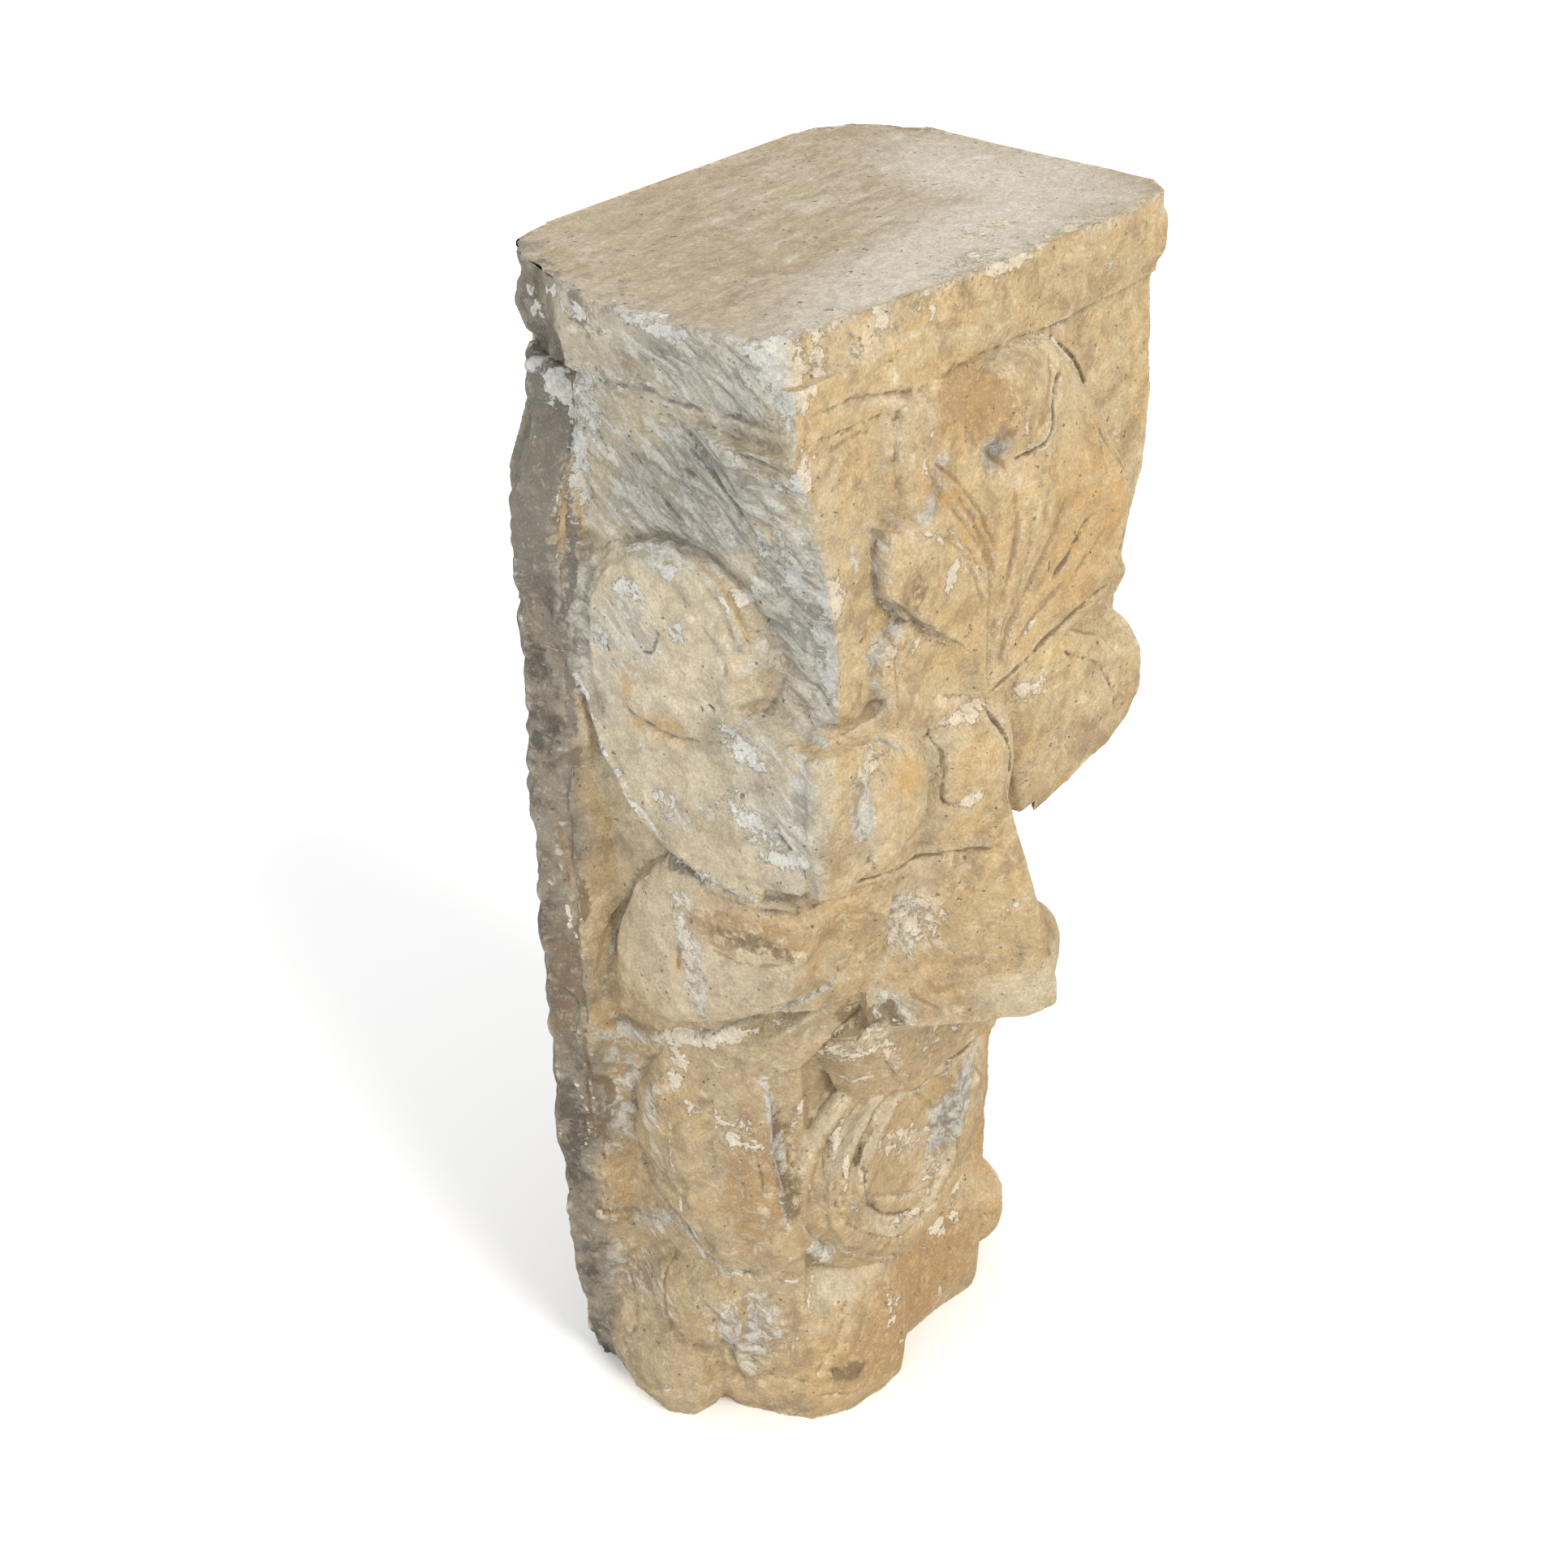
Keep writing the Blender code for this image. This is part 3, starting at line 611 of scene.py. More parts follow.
class Skin:
    """The fused stone as arrays, with its coordinates seen from each face of the block."""

    def __init__(self, mesh):
        self.points = rows_of(mesh.vertices, "co", 3)
        self.normals = rows_of(mesh.vertex_normals, "vector", 3)
        self.edges = rows_of(mesh.edges, "vertices", 2, np.int32)
        self.wander = np.stack([
            noise(self.points, 0.014, seed) * 0.0013 + noise(self.points, 0.005, seed + 1) * 0.0007
            for seed in (SEED + 20, SEED + 30)
        ], 1)
        self.patchy = 0.75 + 0.5 * noise(self.points, 0.011, SEED + 40)

    def view(self, face):
        """Flat (across, drop) coordinates on a face, and how squarely each point faces it."""
        drop = HEIGHT - self.points[:, 2]
        if face == "front":
            return np.stack([self.points[:, 0], drop], 1) + self.wander, -self.normals[:, 1]
        if face == "top":
            return self.points[:, :2] + self.wander, self.normals[:, 2]
        side = -1 if face == "left" else 1
        return np.stack([self.points[:, 1], drop], 1) + self.wander, side * self.normals[:, 0]

    def stroke(self, face, widths, route):
        """How strongly each point lies under a stroke, which thins out at its ends.

        The widths are those to the left and to the right of the route on the face.
        """
        flat, square = self.view(face)
        curve = smooth(route) * MILLIMETRE
        margin = 2.5 * max(widths) * MILLIMETRE
        near = ((flat > curve.min(0) - margin) & (flat < curve.max(0) + margin)).all(1)
        spots = np.flatnonzero(near & (square > 0.05))
        cover = np.zeros(len(flat))
        if len(spots):
            far, share, right = track(flat[spots], curve)
            ends = ramp(share, -0.05, 0.15) * (1 - ramp(share, 0.85, 1.05))
            thick = np.where(right, widths[1], widths[0]) * MILLIMETRE * (0.45 + 0.55 * ends)
            cover[spots] = np.exp(-((far / thick) ** 2)) * ends * ramp(square[spots], 0.05, 0.35)
        return cover * self.patchy

    def patch(self, face, centre, radii, turn):
        """How far each point lies inside a soft oval, turned by some degrees."""
        flat, square = self.view(face)
        angle = math.radians(turn)
        gap = flat - np.array(centre) * MILLIMETRE
        along = gap[:, 0] * math.cos(angle) + gap[:, 1] * math.sin(angle)
        away = gap[:, 1] * math.cos(angle) - gap[:, 0] * math.sin(angle)
        reach = np.hypot(along / (radii[0] * MILLIMETRE), away / (radii[1] * MILLIMETRE))
        return (1 - ramp(reach, 0.45, 1.25)) * ramp(square, 0.0, 0.35)


def level(points, reaches, depth):
    """Brings what is near the top bed, the underside or the back to a depth under that plane."""
    for (axis, plane, inward), reach in zip(((2, HEIGHT, -1), (2, 0, 1), (1, BACK, -1)), reaches):
        values = points[:, axis]
        near = (values - plane) * inward < reach
        points[:, axis] = np.where(near, plane + inward * depth, values)


def settle(mesh, points):
    """Moves a mesh's points to new places."""
    mesh.vertices.foreach_set("co", points.ravel())
    mesh.update()


# Cuts and lips of the carving by face, in millimetres: tone, widths to the left and right of the
# route, depth and route. On the front a route gives (x, drop), on the flanks (y, drop). A negative
# depth is a ridge. A plain cut isn't painted, and a soft one is painted faintly. The dark, soft and
# grey tones are partly cracks and weathering and partly painted shade in grooves and under overhangs.
FRONT_STROKES = (
    # Foot of the fascia, the panel under it, and the break at the panel's left edge.
    ("soft", 0.8, 3.4, 2.3, ((-142, 38), (-131, 34), (-101, 36), (-69, 42), (-45, 46), (-9, 43),
        (15, 43), (55, 47), (87, 46), (141, 49), (158, 50))),
    ("soft", 0.7, 2.0, 1.1, ((-128, 47), (-100, 49), (-73, 51))),
    ("rust", 0.7, 1.3, 0.8, ((-120, 56), (-100, 54), (-84, 57))),
    ("rust", 1.6, 3.1, 3.0, ((-108, 207), (-98, 210), (-84, 209), (-72, 202))),
    # The leaf: side facet, curled tip, creases, flutes and lower groove.
    ("soft", 0.8, 2.1, 1.9, ((-67, 43), (-72, 54), (-74, 70), (-73, 87), (-71, 104))),
    ("soft", 0.8, 1.6, 1.4, ((-81, 109), (-83, 125), (-81, 142))),
    ("pale", 0.8, 0.8, -0.6, ((-38, 50), (-49, 61), (-58, 74), (-57, 87), (-52, 103), (-44, 116))),
    ("rust", 6.5, 0.8, 3.0, ((-18, 51), (-26, 64), (-23, 79), (-8, 94), (6, 103))),
    ("pale", 0.8, 0.8, -0.9, ((-6, 45), (-4, 56), (2, 68), (16, 90), (26, 109))),
    ("rust", 4.0, 4.0, 2.2, ((-14, 56), (-10, 70), (0, 86))),
    ("dark", 1.0, 1.0, 3.5, ((62, 46), (61, 56), (52, 65), (44, 70), (39, 79), (36, 89), (29, 95),
        (16, 98), (4, 98))),
    ("rust", 2.5, 2.5, 1.1, ((44, 52), (40, 64), (30, 76), (24, 88))),
    ("dark", 0.9, 0.9, 2.4, ((66, 56), (75, 66), (92, 80), (100, 94))),
    ("rust", 1.0, 1.0, 2.4, ((78, 98), (86, 112), (98, 128), (107, 146), (106, 164), (98, 182))),
    ("plain", 0.7, 0.7, 1.4, ((82, 104), (80, 116), (84, 130))),
    ("orange", 1.8, 1.8, 2.7, ((-58, 80), (-49, 97), (-28, 122), (-11, 146), (-4, 172), (-2, 201),
        (2, 231))),
    ("rust", 1.0, 1.2, 1.9, ((-54, 79), (-38, 93), (-20, 116), (-4, 144))),
    ("pale", 0.8, 0.8, 1.4, ((-52, 114), (-35, 126), (-17, 148), (-5, 172))),
    ("plain", 0.7, 1.8, 1.6, ((-50, 119), (-34, 132), (-19, 153), (-9, 177))),
    ("rust", 0.9, 2.1, 1.9, ((-41, 96), (-24, 119), (-8, 146), (-3, 160))),
    ("rust", 1.0, 3.6, 2.3, ((6, 106), (10, 135), (9, 159), (3, 180), (1, 204))),
    ("plain", 1.2, 3.4, 2.0, ((22, 118), (21, 153), (15, 179), (6, 210))),
    ("rust", 0.8, 3.9, 2.3, ((52, 127), (40, 150), (25, 173), (13, 198), (6, 222))),
    ("plain", 1.2, 3.1, 1.6, ((36, 116), (31, 146), (20, 172))),
    ("rust", 0.8, 3.4, 1.8, ((88, 157), (64, 178), (36, 192), (14, 214))),
    ("dark", 1.8, 1.8, 3.5, ((71, 149), (61, 160), (51, 169), (44, 179))),
    ("pale", 1.0, 1.0, -0.6, ((44, 181), (36, 192), (24, 205))),
    ("pale", 0.9, 0.9, -0.8, ((-79, 108), (-62, 113), (-49, 122), (-42, 129))),
    # Under the leaf's lower left lobe, the grey and the faint dark line are painted shadow in the
    # groove.
    ("grey", 1.2, 3.6, 3.4, ((-80, 143), (-62, 160), (-44, 177), (-19, 196))),
    ("soft", 0.9, 0.9, 1.1, ((-78, 146), (-62, 162), (-44, 180), (-22, 196))),
    ("pale", 0.8, 0.8, -0.6, ((-72, 173), (-55, 170), (-33, 184), (-12, 201))),
    ("plain", 1.0, 1.0, 1.4, ((-73, 160), (-71, 178), (-69, 200), (-66, 222))),
    ("soft", 0.8, 2.1, 1.8, ((-43, 200), (-43, 214), (-22, 224), (1, 236))),
    ("dark", 0.9, 2.3, 2.7, ((96, 200), (82, 202), (57, 210), (33, 221), (9, 229), (3, 238))),
    # The knot between leaf and nose, and the scroll beside it.
    ("dark", 0.9, 0.9, 3.0, ((-47, 230), (-41, 239), (-36, 250), (-39, 260), (-41, 270), (-38, 279),
        (-26, 282))),
    ("grey", 1.6, 1.6, 1.9, ((-104, 224), (-92, 222), (-78, 226), (-70, 238))),
    ("dark", 0.9, 2.3, 2.4, ((-127, 296), (-108, 300), (-84, 310), (-58, 313), (-43, 313), (-28, 310),
        (-8, 309))),
    ("soft", 0.8, 1.8, 1.6, ((-107, 254), (-103, 272), (-96, 288), (-88, 300))),
    ("dark", 1.0, 2.1, 3.5, ((0, 236), (2, 244), (9, 257), (15, 272), (15, 290), (8, 302))),
    ("soft", 0.8, 0.8, 1.9, ((56, 228), (69, 233), (93, 249), (114, 274), (126, 300))),
    ("pale", 1.6, 1.6, -0.6, ((22, 254), (28, 243), (38, 237), (50, 240))),
    # The nose, its broken side, and the fold that runs down from its wing.
    ("pale", 0.8, 0.8, 1.0, ((1, 342), (-15, 345), (-27, 354), (-33, 367), (-38, 379))),
    ("rust", 0.7, 0.7, 1.2, ((1, 346), (0, 362), (1, 382))),
    ("rust", 1.4, 1.4, 1.9, ((-54, 383), (-50, 392), (-44, 389), (-43, 402), (-36, 406))),
    ("rust", 1.0, 1.0, 1.4, ((-62, 386), (-58, 396), (-50, 404))),
    ("plain", 6.0, 6.0, 2.7, ((-58, 340), (-48, 354), (-46, 368), (-56, 378))),
    # The dark under the left of the nose is painted shadow in the nostril.
    ("dark", 3.0, 3.0, 2.7, ((-68, 394), (-71, 404), (-66, 414))),
    ("plain", 1.4, 3.9, 1.6, ((-53, 338), (-64, 361), (-75, 384), (-74, 402))),
    ("dark", 0.9, 2.6, 2.4, ((-73, 404), (-84, 420), (-91, 437), (-98, 452))),
    # The mouth: trough, ridges and the ragged opening under the lip.
    # The grey band in the trough round the left of the mouth is painted shadow.
    ("grey", 4.2, 1.2, 3.2, ((-98, 456), (-104, 470), (-107, 490), (-107, 512), (-104, 535), (-97, 560),
        (-85, 586), (-68, 603), (-40, 624), (-8, 648), (36, 662))),
    ("pale", 1.6, 1.6, -1.0, ((-86, 470), (-93, 484), (-96, 501), (-94, 525), (-90, 548))),
    ("soft", 0.9, 2.1, 1.5, ((-62, 486), (-77, 509), (-84, 533), (-82, 556), (-69, 578), (-48, 598),
        (-20, 616))),
    ("pale", 2.4, 2.4, -1.2, ((-54, 482), (-68, 498), (-77, 518), (-79, 543), (-73, 561), (-56, 580))),
    # The dark in the groove between the rings of the lip is painted shade.
    ("dark", 3.6, 1.0, 3.6, ((-38, 487), (-53, 494), (-65, 509), (-71, 527), (-69, 549), (-50, 577),
        (-29, 594), (0, 609), (18, 602))),
    ("plain", 3.2, 1.2, 2.6, ((18, 602), (26, 580), (12, 545), (-14, 509), (-32, 490))),
    ("rust", 0.8, 2.1, 1.8, ((-64, 509), (-42, 521), (-8, 541), (12, 548))),
    ("rust", 0.8, 0.8, 1.1, ((-60, 556), (-36, 574), (-10, 588), (10, 586))),
    ("soft", 0.9, 2.1, 1.9, ((-80, 414), (-67, 436), (-53, 460), (-36, 488))),
    # The dark line along the upper lip's lower edge is painted shadow.
    ("dark", 1.2, 1.2, 3.0, ((60, 512), (40, 506), (24, 503), (-2, 501), (-14, 503), (-26, 498))),
    ("pale", 1.0, 1.0, -0.7, ((-52, 616), (-24, 634), (10, 642), (40, 636))),
    ("rust", 1.0, 2.6, 1.4, ((44, 524), (60, 550), (62, 590), (50, 622))),
    # The chin.
    ("rust", 1.0, 2.3, 2.2, ((-62, 642), (-69, 662), (-80, 684), (-88, 702))),
    ("plain", 1.2, 2.9, 1.9, ((-47, 640), (-53, 665), (-68, 695))),
    ("pale", 0.9, 0.9, 1.1, ((-23, 653), (-31, 672), (-41, 693))),
    ("plain", 1.4, 3.4, 1.9, ((-8, 658), (-14, 684), (-26, 716))),
    ("rust", 1.0, 3.1, 1.6, ((22, 664), (20, 696), (8, 726))),
    ("plain", 3.0, 3.0, 3.2, ((46, 664), (48, 696), (40, 730))),
    ("dark", 2.4, 2.4, 3.2, ((-80, 697), (-68, 708), (-56, 706))),
    ("dark", 2.6, 2.6, 2.7, ((-112, 678), (-108, 691))),
    ("pale", 1.0, 1.0, -0.5, ((-75, 621), (-84, 639), (-92, 669), (-100, 689))),
    ("rust", 1.0, 1.0, 1.2, ((-88, 716), (-70, 722), (-50, 724))),
)
LEFT_STROKES = (
    # The edge of the rough strip at the back, and the foot of the fascia.
    ("dark", 2.6, 1.2, 2.0, ((40, 58), (42, 110), (44, 150), (47, 200), (46, 260), (50, 300), (47, 350),
        (50, 400), (47, 450), (50, 500), (45, 545), (50, 600))),
    ("soft", 1.0, 2.6, 1.9, ((56, 49), (18, 44), (-8, 43), (-52, 42), (-100, 40))),
    ("pale", 0.8, 0.8, -0.5, ((50, 45), (18, 40), (-8, 39), (-52, 38), (-98, 35))),
    # The fold that runs back from the wing of the nose.
    ("grey", 1.2, 3.1, 2.7, ((10, 446), (-20, 432), (-50, 414), (-78, 390), (-100, 366))),
    ("pale", 2.6, 2.6, -1.2, ((28, 455), (4, 448), (-22, 437), (-50, 422), (-74, 404))),
    # The volute on the left flank.
    ("grey", 0.9, 5.0, 2.4, ((43, 172), (40, 152), (27, 138), (6, 127), (-16, 121), (-36, 125),
        (-52, 134), (-64, 147), (-71, 161), (-74, 178), (-70, 196), (-59, 211), (-40, 223))),
    ("soft", 1.0, 1.0, 1.2, ((38, 150), (22, 134), (-2, 124), (-24, 121), (-42, 127), (-58, 140))),
    ("pale", 0.8, 0.8, -0.6, ((37, 160), (25, 143), (4, 131), (-14, 127), (-34, 129))),
    ("soft", 0.9, 2.0, 1.6, ((-66, 211), (-44, 224), (-16, 230), (8, 226), (20, 214))),
    ("plain", 0.8, 2.3, 1.4, ((-22, 137), (-35, 152), (-48, 167), (-54, 183), (-48, 203))),
    ("pale", 2.6, 2.6, -0.8, ((43, 200), (43, 222), (36, 244), (23, 266), (6, 284), (-18, 298))),
    ("grey", 1.0, 2.1, 3.2, ((46, 210), (42, 240), (29, 268), (10, 290), (-16, 306), (-50, 312),
        (-90, 312))),
    ("soft", 0.7, 0.7, 1.4, ((7, 175), (0, 183), (-8, 184), (-14, 167))),
    ("soft", 1.1, 1.1, 2.0, ((-42, 203), (-46, 206))),
    ("plain", 4.0, 4.0, 2.2, ((6, 204), (-4, 214), (-13, 221))),
    ("pale", 0.7, 0.7, 0.8, ((-34, 271), (-50, 255), (-64, 240))),
    ("soft", 0.8, 1.8, 1.6, ((-78, 256), (-92, 270), (-98, 282))),
    # Tool marks in the hollow between the volute and the panel.
    ("soft", 0.8, 2.6, 2.2, ((-40, 61), (-56, 82), (-72, 104))),
    ("soft", 0.9, 2.4, 1.8, ((-20, 50), (-36, 58), (-52, 72))),
    ("dark", 0.8, 2.0, 1.6, ((-30, 66), (-48, 74), (-62, 90))),
    ("soft", 0.8, 2.0, 1.5, ((24, 62), (8, 74), (-6, 92))),
    ("soft", 0.8, 2.2, 1.6, ((40, 60), (28, 72), (16, 90))),
    ("pale", 1.2, 1.2, -0.6, ((-14, 60), (-30, 72), (-42, 86))),
    ("pale", 1.4, 1.4, -0.6, ((-66, 70), (-80, 88), (-90, 112))),
    ("pale", 1.6, 1.6, -0.8, ((-54, 74), (-70, 96), (-84, 122))),
    ("soft", 0.7, 1.8, 1.4, ((-48, 48), (-76, 53), (-98, 64))),
    ("soft", 0.7, 1.8, 1.4, ((-2, 92), (-22, 108), (-36, 120))),
    ("soft", 0.7, 1.2, 1.2, ((-4, 70), (-20, 78), (-40, 82))),
    ("soft", 0.7, 1.2, 1.2, ((-60, 88), (-74, 108), (-84, 126))),
    ("pale", 0.8, 0.8, -0.6, ((20, 84), (2, 108), (-8, 118))),
    ("soft", 0.9, 0.9, 1.4, ((42, 96), (30, 122))),
    ("plain", 2.0, 3.9, 2.0, ((-52, 96), (-74, 130), (-88, 168), (-92, 196))),
    ("plain", 1.6, 3.4, 1.6, ((-40, 92), (-62, 122), (-80, 150))),
    # Cheek and jowl.
    ("grey", 1.0, 3.4, 3.0, ((-2, 312), (24, 342), (38, 376), (42, 410), (43, 446), (30, 452),
        (6, 446))),
    ("pale", 0.8, 0.8, -0.6, ((-6, 318), (18, 344), (31, 376), (35, 408))),
    ("soft", 0.9, 2.1, 2.2, ((-12, 308), (-36, 318), (-70, 320), (-98, 322))),
    ("soft", 0.9, 0.9, 1.6, ((-40, 346), (-64, 344), (-88, 342))),
    ("rust", 1.0, 1.0, 1.4, ((-38, 358), (-60, 358), (-84, 352))),
    ("rust", 1.2, 1.2, 1.6, ((-18, 362), (-16, 384))),
    ("grey", 1.0, 3.1, 3.0, ((16, 462), (31, 488), (35, 512), (33, 540), (25, 566), (6, 582),
        (-12, 602), (-38, 614), (-60, 614))),
    ("pale", 0.8, 0.8, -0.6, ((6, 466), (1, 500), (0, 526), (-2, 557), (-6, 590))),
    ("pale", 1.4, 1.4, -0.5, ((2, 586), (-16, 604), (-36, 614), (-56, 620), (-78, 610))),
    ("soft", 0.9, 0.9, 1.6, ((-50, 506), (-56, 520), (-58, 540))),
    # The curl behind the chin, and the rough ground behind cheek and jowl.
    ("rust", 1.0, 1.0, 2.4, ((6, 612), (6, 640), (4, 676))),
    ("grey", 3.9, 1.6, 4.1, ((-22, 628), (-34, 640), (-36, 660), (-32, 684), (-38, 716))),
    ("soft", 1.6, 1.6, 2.2, ((-48, 700), (-60, 706), (-72, 704))),
    ("dark", 1.4, 3.1, 3.0, ((52, 470), (44, 500), (46, 530))),
    ("pale", 1.4, 1.4, -1.0, ((58, 486), (50, 516), (56, 548))),
    ("grey", 1.6, 3.4, 3.0, ((58, 580), (40, 598), (18, 600))),
    ("rust", 1.4, 2.3, 2.7, ((60, 300), (52, 330), (56, 366))),
    ("pale", 1.4, 1.4, -0.8, ((62, 344), (54, 366), (48, 392))),
    ("soft", 0.9, 2.3, 2.2, ((46, 640), (30, 664), (34, 700))),
    ("soft", 0.9, 0.9, 1.6, ((60, 420), (52, 440), (56, 462))),
)
STROKES = {"front": FRONT_STROKES, "left": LEFT_STROKES}


def hatched(points, run, rise, spacings, seed):
    """Noise drawn out into streaks: one spacing along their run, and one across it."""
    run = np.array(run) / np.linalg.norm(run)
    rise = np.array(rise) / np.linalg.norm(rise)
    turned = np.stack([points @ run, points @ rise, points @ np.cross(run, rise)], 1)
    return noise(turned, np.array([spacings[0], spacings[1], spacings[1]]), seed)


def roughen(mesh):
    """Hand-hewn unevenness, flakes, tool strokes, the cuts of the carving and the rough strip."""
    skin = Skin(mesh)
    points, normals = skin.points, skin.normals
    drop = HEIGHT - points[:, 2]
    aside = ramp(np.abs(points[:, 0]), 0.09, 0.12)
    strip = ramp(points[:, 1], 0.036, 0.05) * aside
    low = ramp(drop, 0.3, 0.6) * aside
    tooled = ramp(-normals[:, 0], 0.3, 0.8) * (1 - ramp(drop, 0.16, 0.34)) * (1 - strip)
    push = layered(points, HEWN)
    push += layered(points, ROUGH_STRIP) * strip + layered(points, ROUGH_GROUND) * low
    for run, rise, spacings, seed, height in HATCHES:
        push += hatched(points, run, rise, spacings, SEED + seed) * height * tooled
    for spacing, seed, start, end, depth in FLAKES:
        flakes = ramp(noise(points, spacing, SEED + seed), start, end) * depth
        push -= flakes * (0.45 + 0.9 * np.maximum(low, strip))
    centre, radii, turn, sunk = MOUTH_HOLLOW
    push -= skin.patch("front", centre, radii, turn) * sunk
    for face, strokes in STROKES.items():
        for _, inner, outer, depth, route in strokes:
            push -= skin.stroke(face, (inner, outer), route) * depth * MILLIMETRE
            if face == "left" and max(fall for _, fall in route) < MIRRORED:
                push -= skin.stroke("right", (inner, outer), route) * depth * MILLIMETRE
    bed = ramp(points[:, 2], HEIGHT - 0.004, HEIGHT - 0.001) * ramp(normals[:, 2], 0.4, 0.8)
    back = ramp(points[:, 1], BACK - 0.004, BACK - 0.001) * ramp(normals[:, 1], 0.4, 0.8)
    points = points + normals * (push * (1 - np.maximum(bed, back)))[:, None]
    dressed = 0.00012 * (1 + noise(points, 0.0055, SEED + 12))
    level(points, (0.002, 0.002, 0.0016), dressed)
    settle(mesh, points)


def dress(mesh):
    """Makes the top bed, the underside and the back face quite flat."""
    points = rows_of(mesh.vertices, "co", 3)
    level(points, (0.0004, 0.0004, 0.0004), 0)
    settle(mesh, points)


def thinned(mesh, name):
    """The stone as an object with fewer triangles."""
    block = put(name, mesh)
    thin = block.modifiers.new("thin", "DECIMATE")
    thin.use_collapse_triangulate = True
    mesh.calc_loop_triangles()
    thin.ratio = min(1.0, MOST_TRIANGLES / len(mesh.loop_triangles))
    made = evaluated(block)
    block.modifiers.clear()
    block.data = made
    made.name = name
    bpy.data.meshes.remove(mesh)
    dress(made)
    return block


# Stains, bruises and a few patches of painted shade by face and tone, in millimetres: centre, radii,
# turn in degrees, strength.
LEFT_STAINS = {
    "grey": (
         (-30, 92, 75, 42, 20, 0.95), (-86, 150, 26, 70, 0, 0.9), (-94, 200, 16, 26, 0, 0.5),
        (-60, 22, 60, 24, 0, 0.75), (-100, 236, 10, 24, 0, 0.6), (44, 170, 10, 60, 0, 0.8),
        (20, 70, 30, 40, 0, 0.6), (-20, 282, 40, 12, 40, 0.45), (14, 510, 10, 50, 0, 0.5),
        (42, 500, 14, 60, 0, 0.5), (-44, 664, 16, 44, 0, 0.6), (20, 600, 44, 14, 20, 0.5),
        (30, 455, 20, 10, 0, 0.6), (10, 182, 30, 34, 0, 0.36), (20, 640, 50, 30, 0, 0.3),
        (30, 110, 16, 40, 0, 0.4), (-88, 256, 18, 22, 0, 0.5), (-26, 366, 9, 50, 8, 0.5),
    ),
    "orange": (
         (-12, 228, 26, 9, 10, 0.9), (11, 212, 6, 18, -15, 0.8), (-62, 325, 44, 7, 0, 0.7),
        (-17, 374, 6, 12, 0, 0.7), (-70, 186, 14, 30, 20, 0.35), (60, 300, 10, 40, 0, 0.3),
    ),
    "pale": (
         (10, 151, 10, 5, 20, 1.0), (0, 155, 7, 4, 10, 1.0), (26, 186, 8, 7, 30, 1.0),
        (-24, 168, 5, 8, 0, 1.0), (-22, 134, 6, 5, 0, 1.0), (-13, 272, 10, 12, 0, 0.5),
        (-84, 281, 12, 7, 0, 0.9), (-98, 276, 7, 8, 0, 0.9), (-64, 222, 22, 9, -20, 0.7),
        (-84, 6, 14, 6, 0, 0.8), (-30, 4, 24, 4, 0, 0.8), (30, 8, 26, 6, 0, 0.7),
        (-96, 14, 10, 24, 0, 1.2), (-3, 459, 9, 6, 0, 1.0), (0, 474, 7, 9, 0, 0.9),
        (-14, 488, 9, 5, 0, 0.9), (-40, 496, 20, 14, -30, 0.5), (30, 60, 10, 22, 0, 0.6),
        (40, 90, 10, 40, 0, 0.6), (-96, 168, 8, 28, 0, 0.75), (-60, 140, 10, 6, 0, 0.8),
        (-84, 128, 8, 8, 0, 0.8), (-46, 310, 40, 8, 0, 0.5), (-80, 112, 18, 20, 0, 0.5),
        (-70, 262, 24, 14, -30, 0.6), (-16, 438, 46, 7, 24, 0.9), (-24, 370, 7, 46, 8, 0.75),
    ),
    "dark": (
         (-20, 312, 26, 6, 0, 0.5), (-64, 344, 30, 8, 0, 0.4), (20, 9, 14, 14, 0, 0.45),
        (60, 420, 12, 60, 0, 0.5), (66, 100, 30, 90, 0, 0.6),
    ),
    "rust": (
         (-62, 340, 46, 14, 8, 0.5), (-50, 530, 18, 60, 0, 0.5),
    ),
    "beige": (
         (-6, 176, 56, 58, 0, 1.0), (-60, 172, 14, 44, 0, 1.0), (-14, 262, 70, 46, 0, 0.75),
        (-92, 250, 20, 50, 0, 0.5), (-10, 366, 60, 60, 0, 0.7),
    ),
}
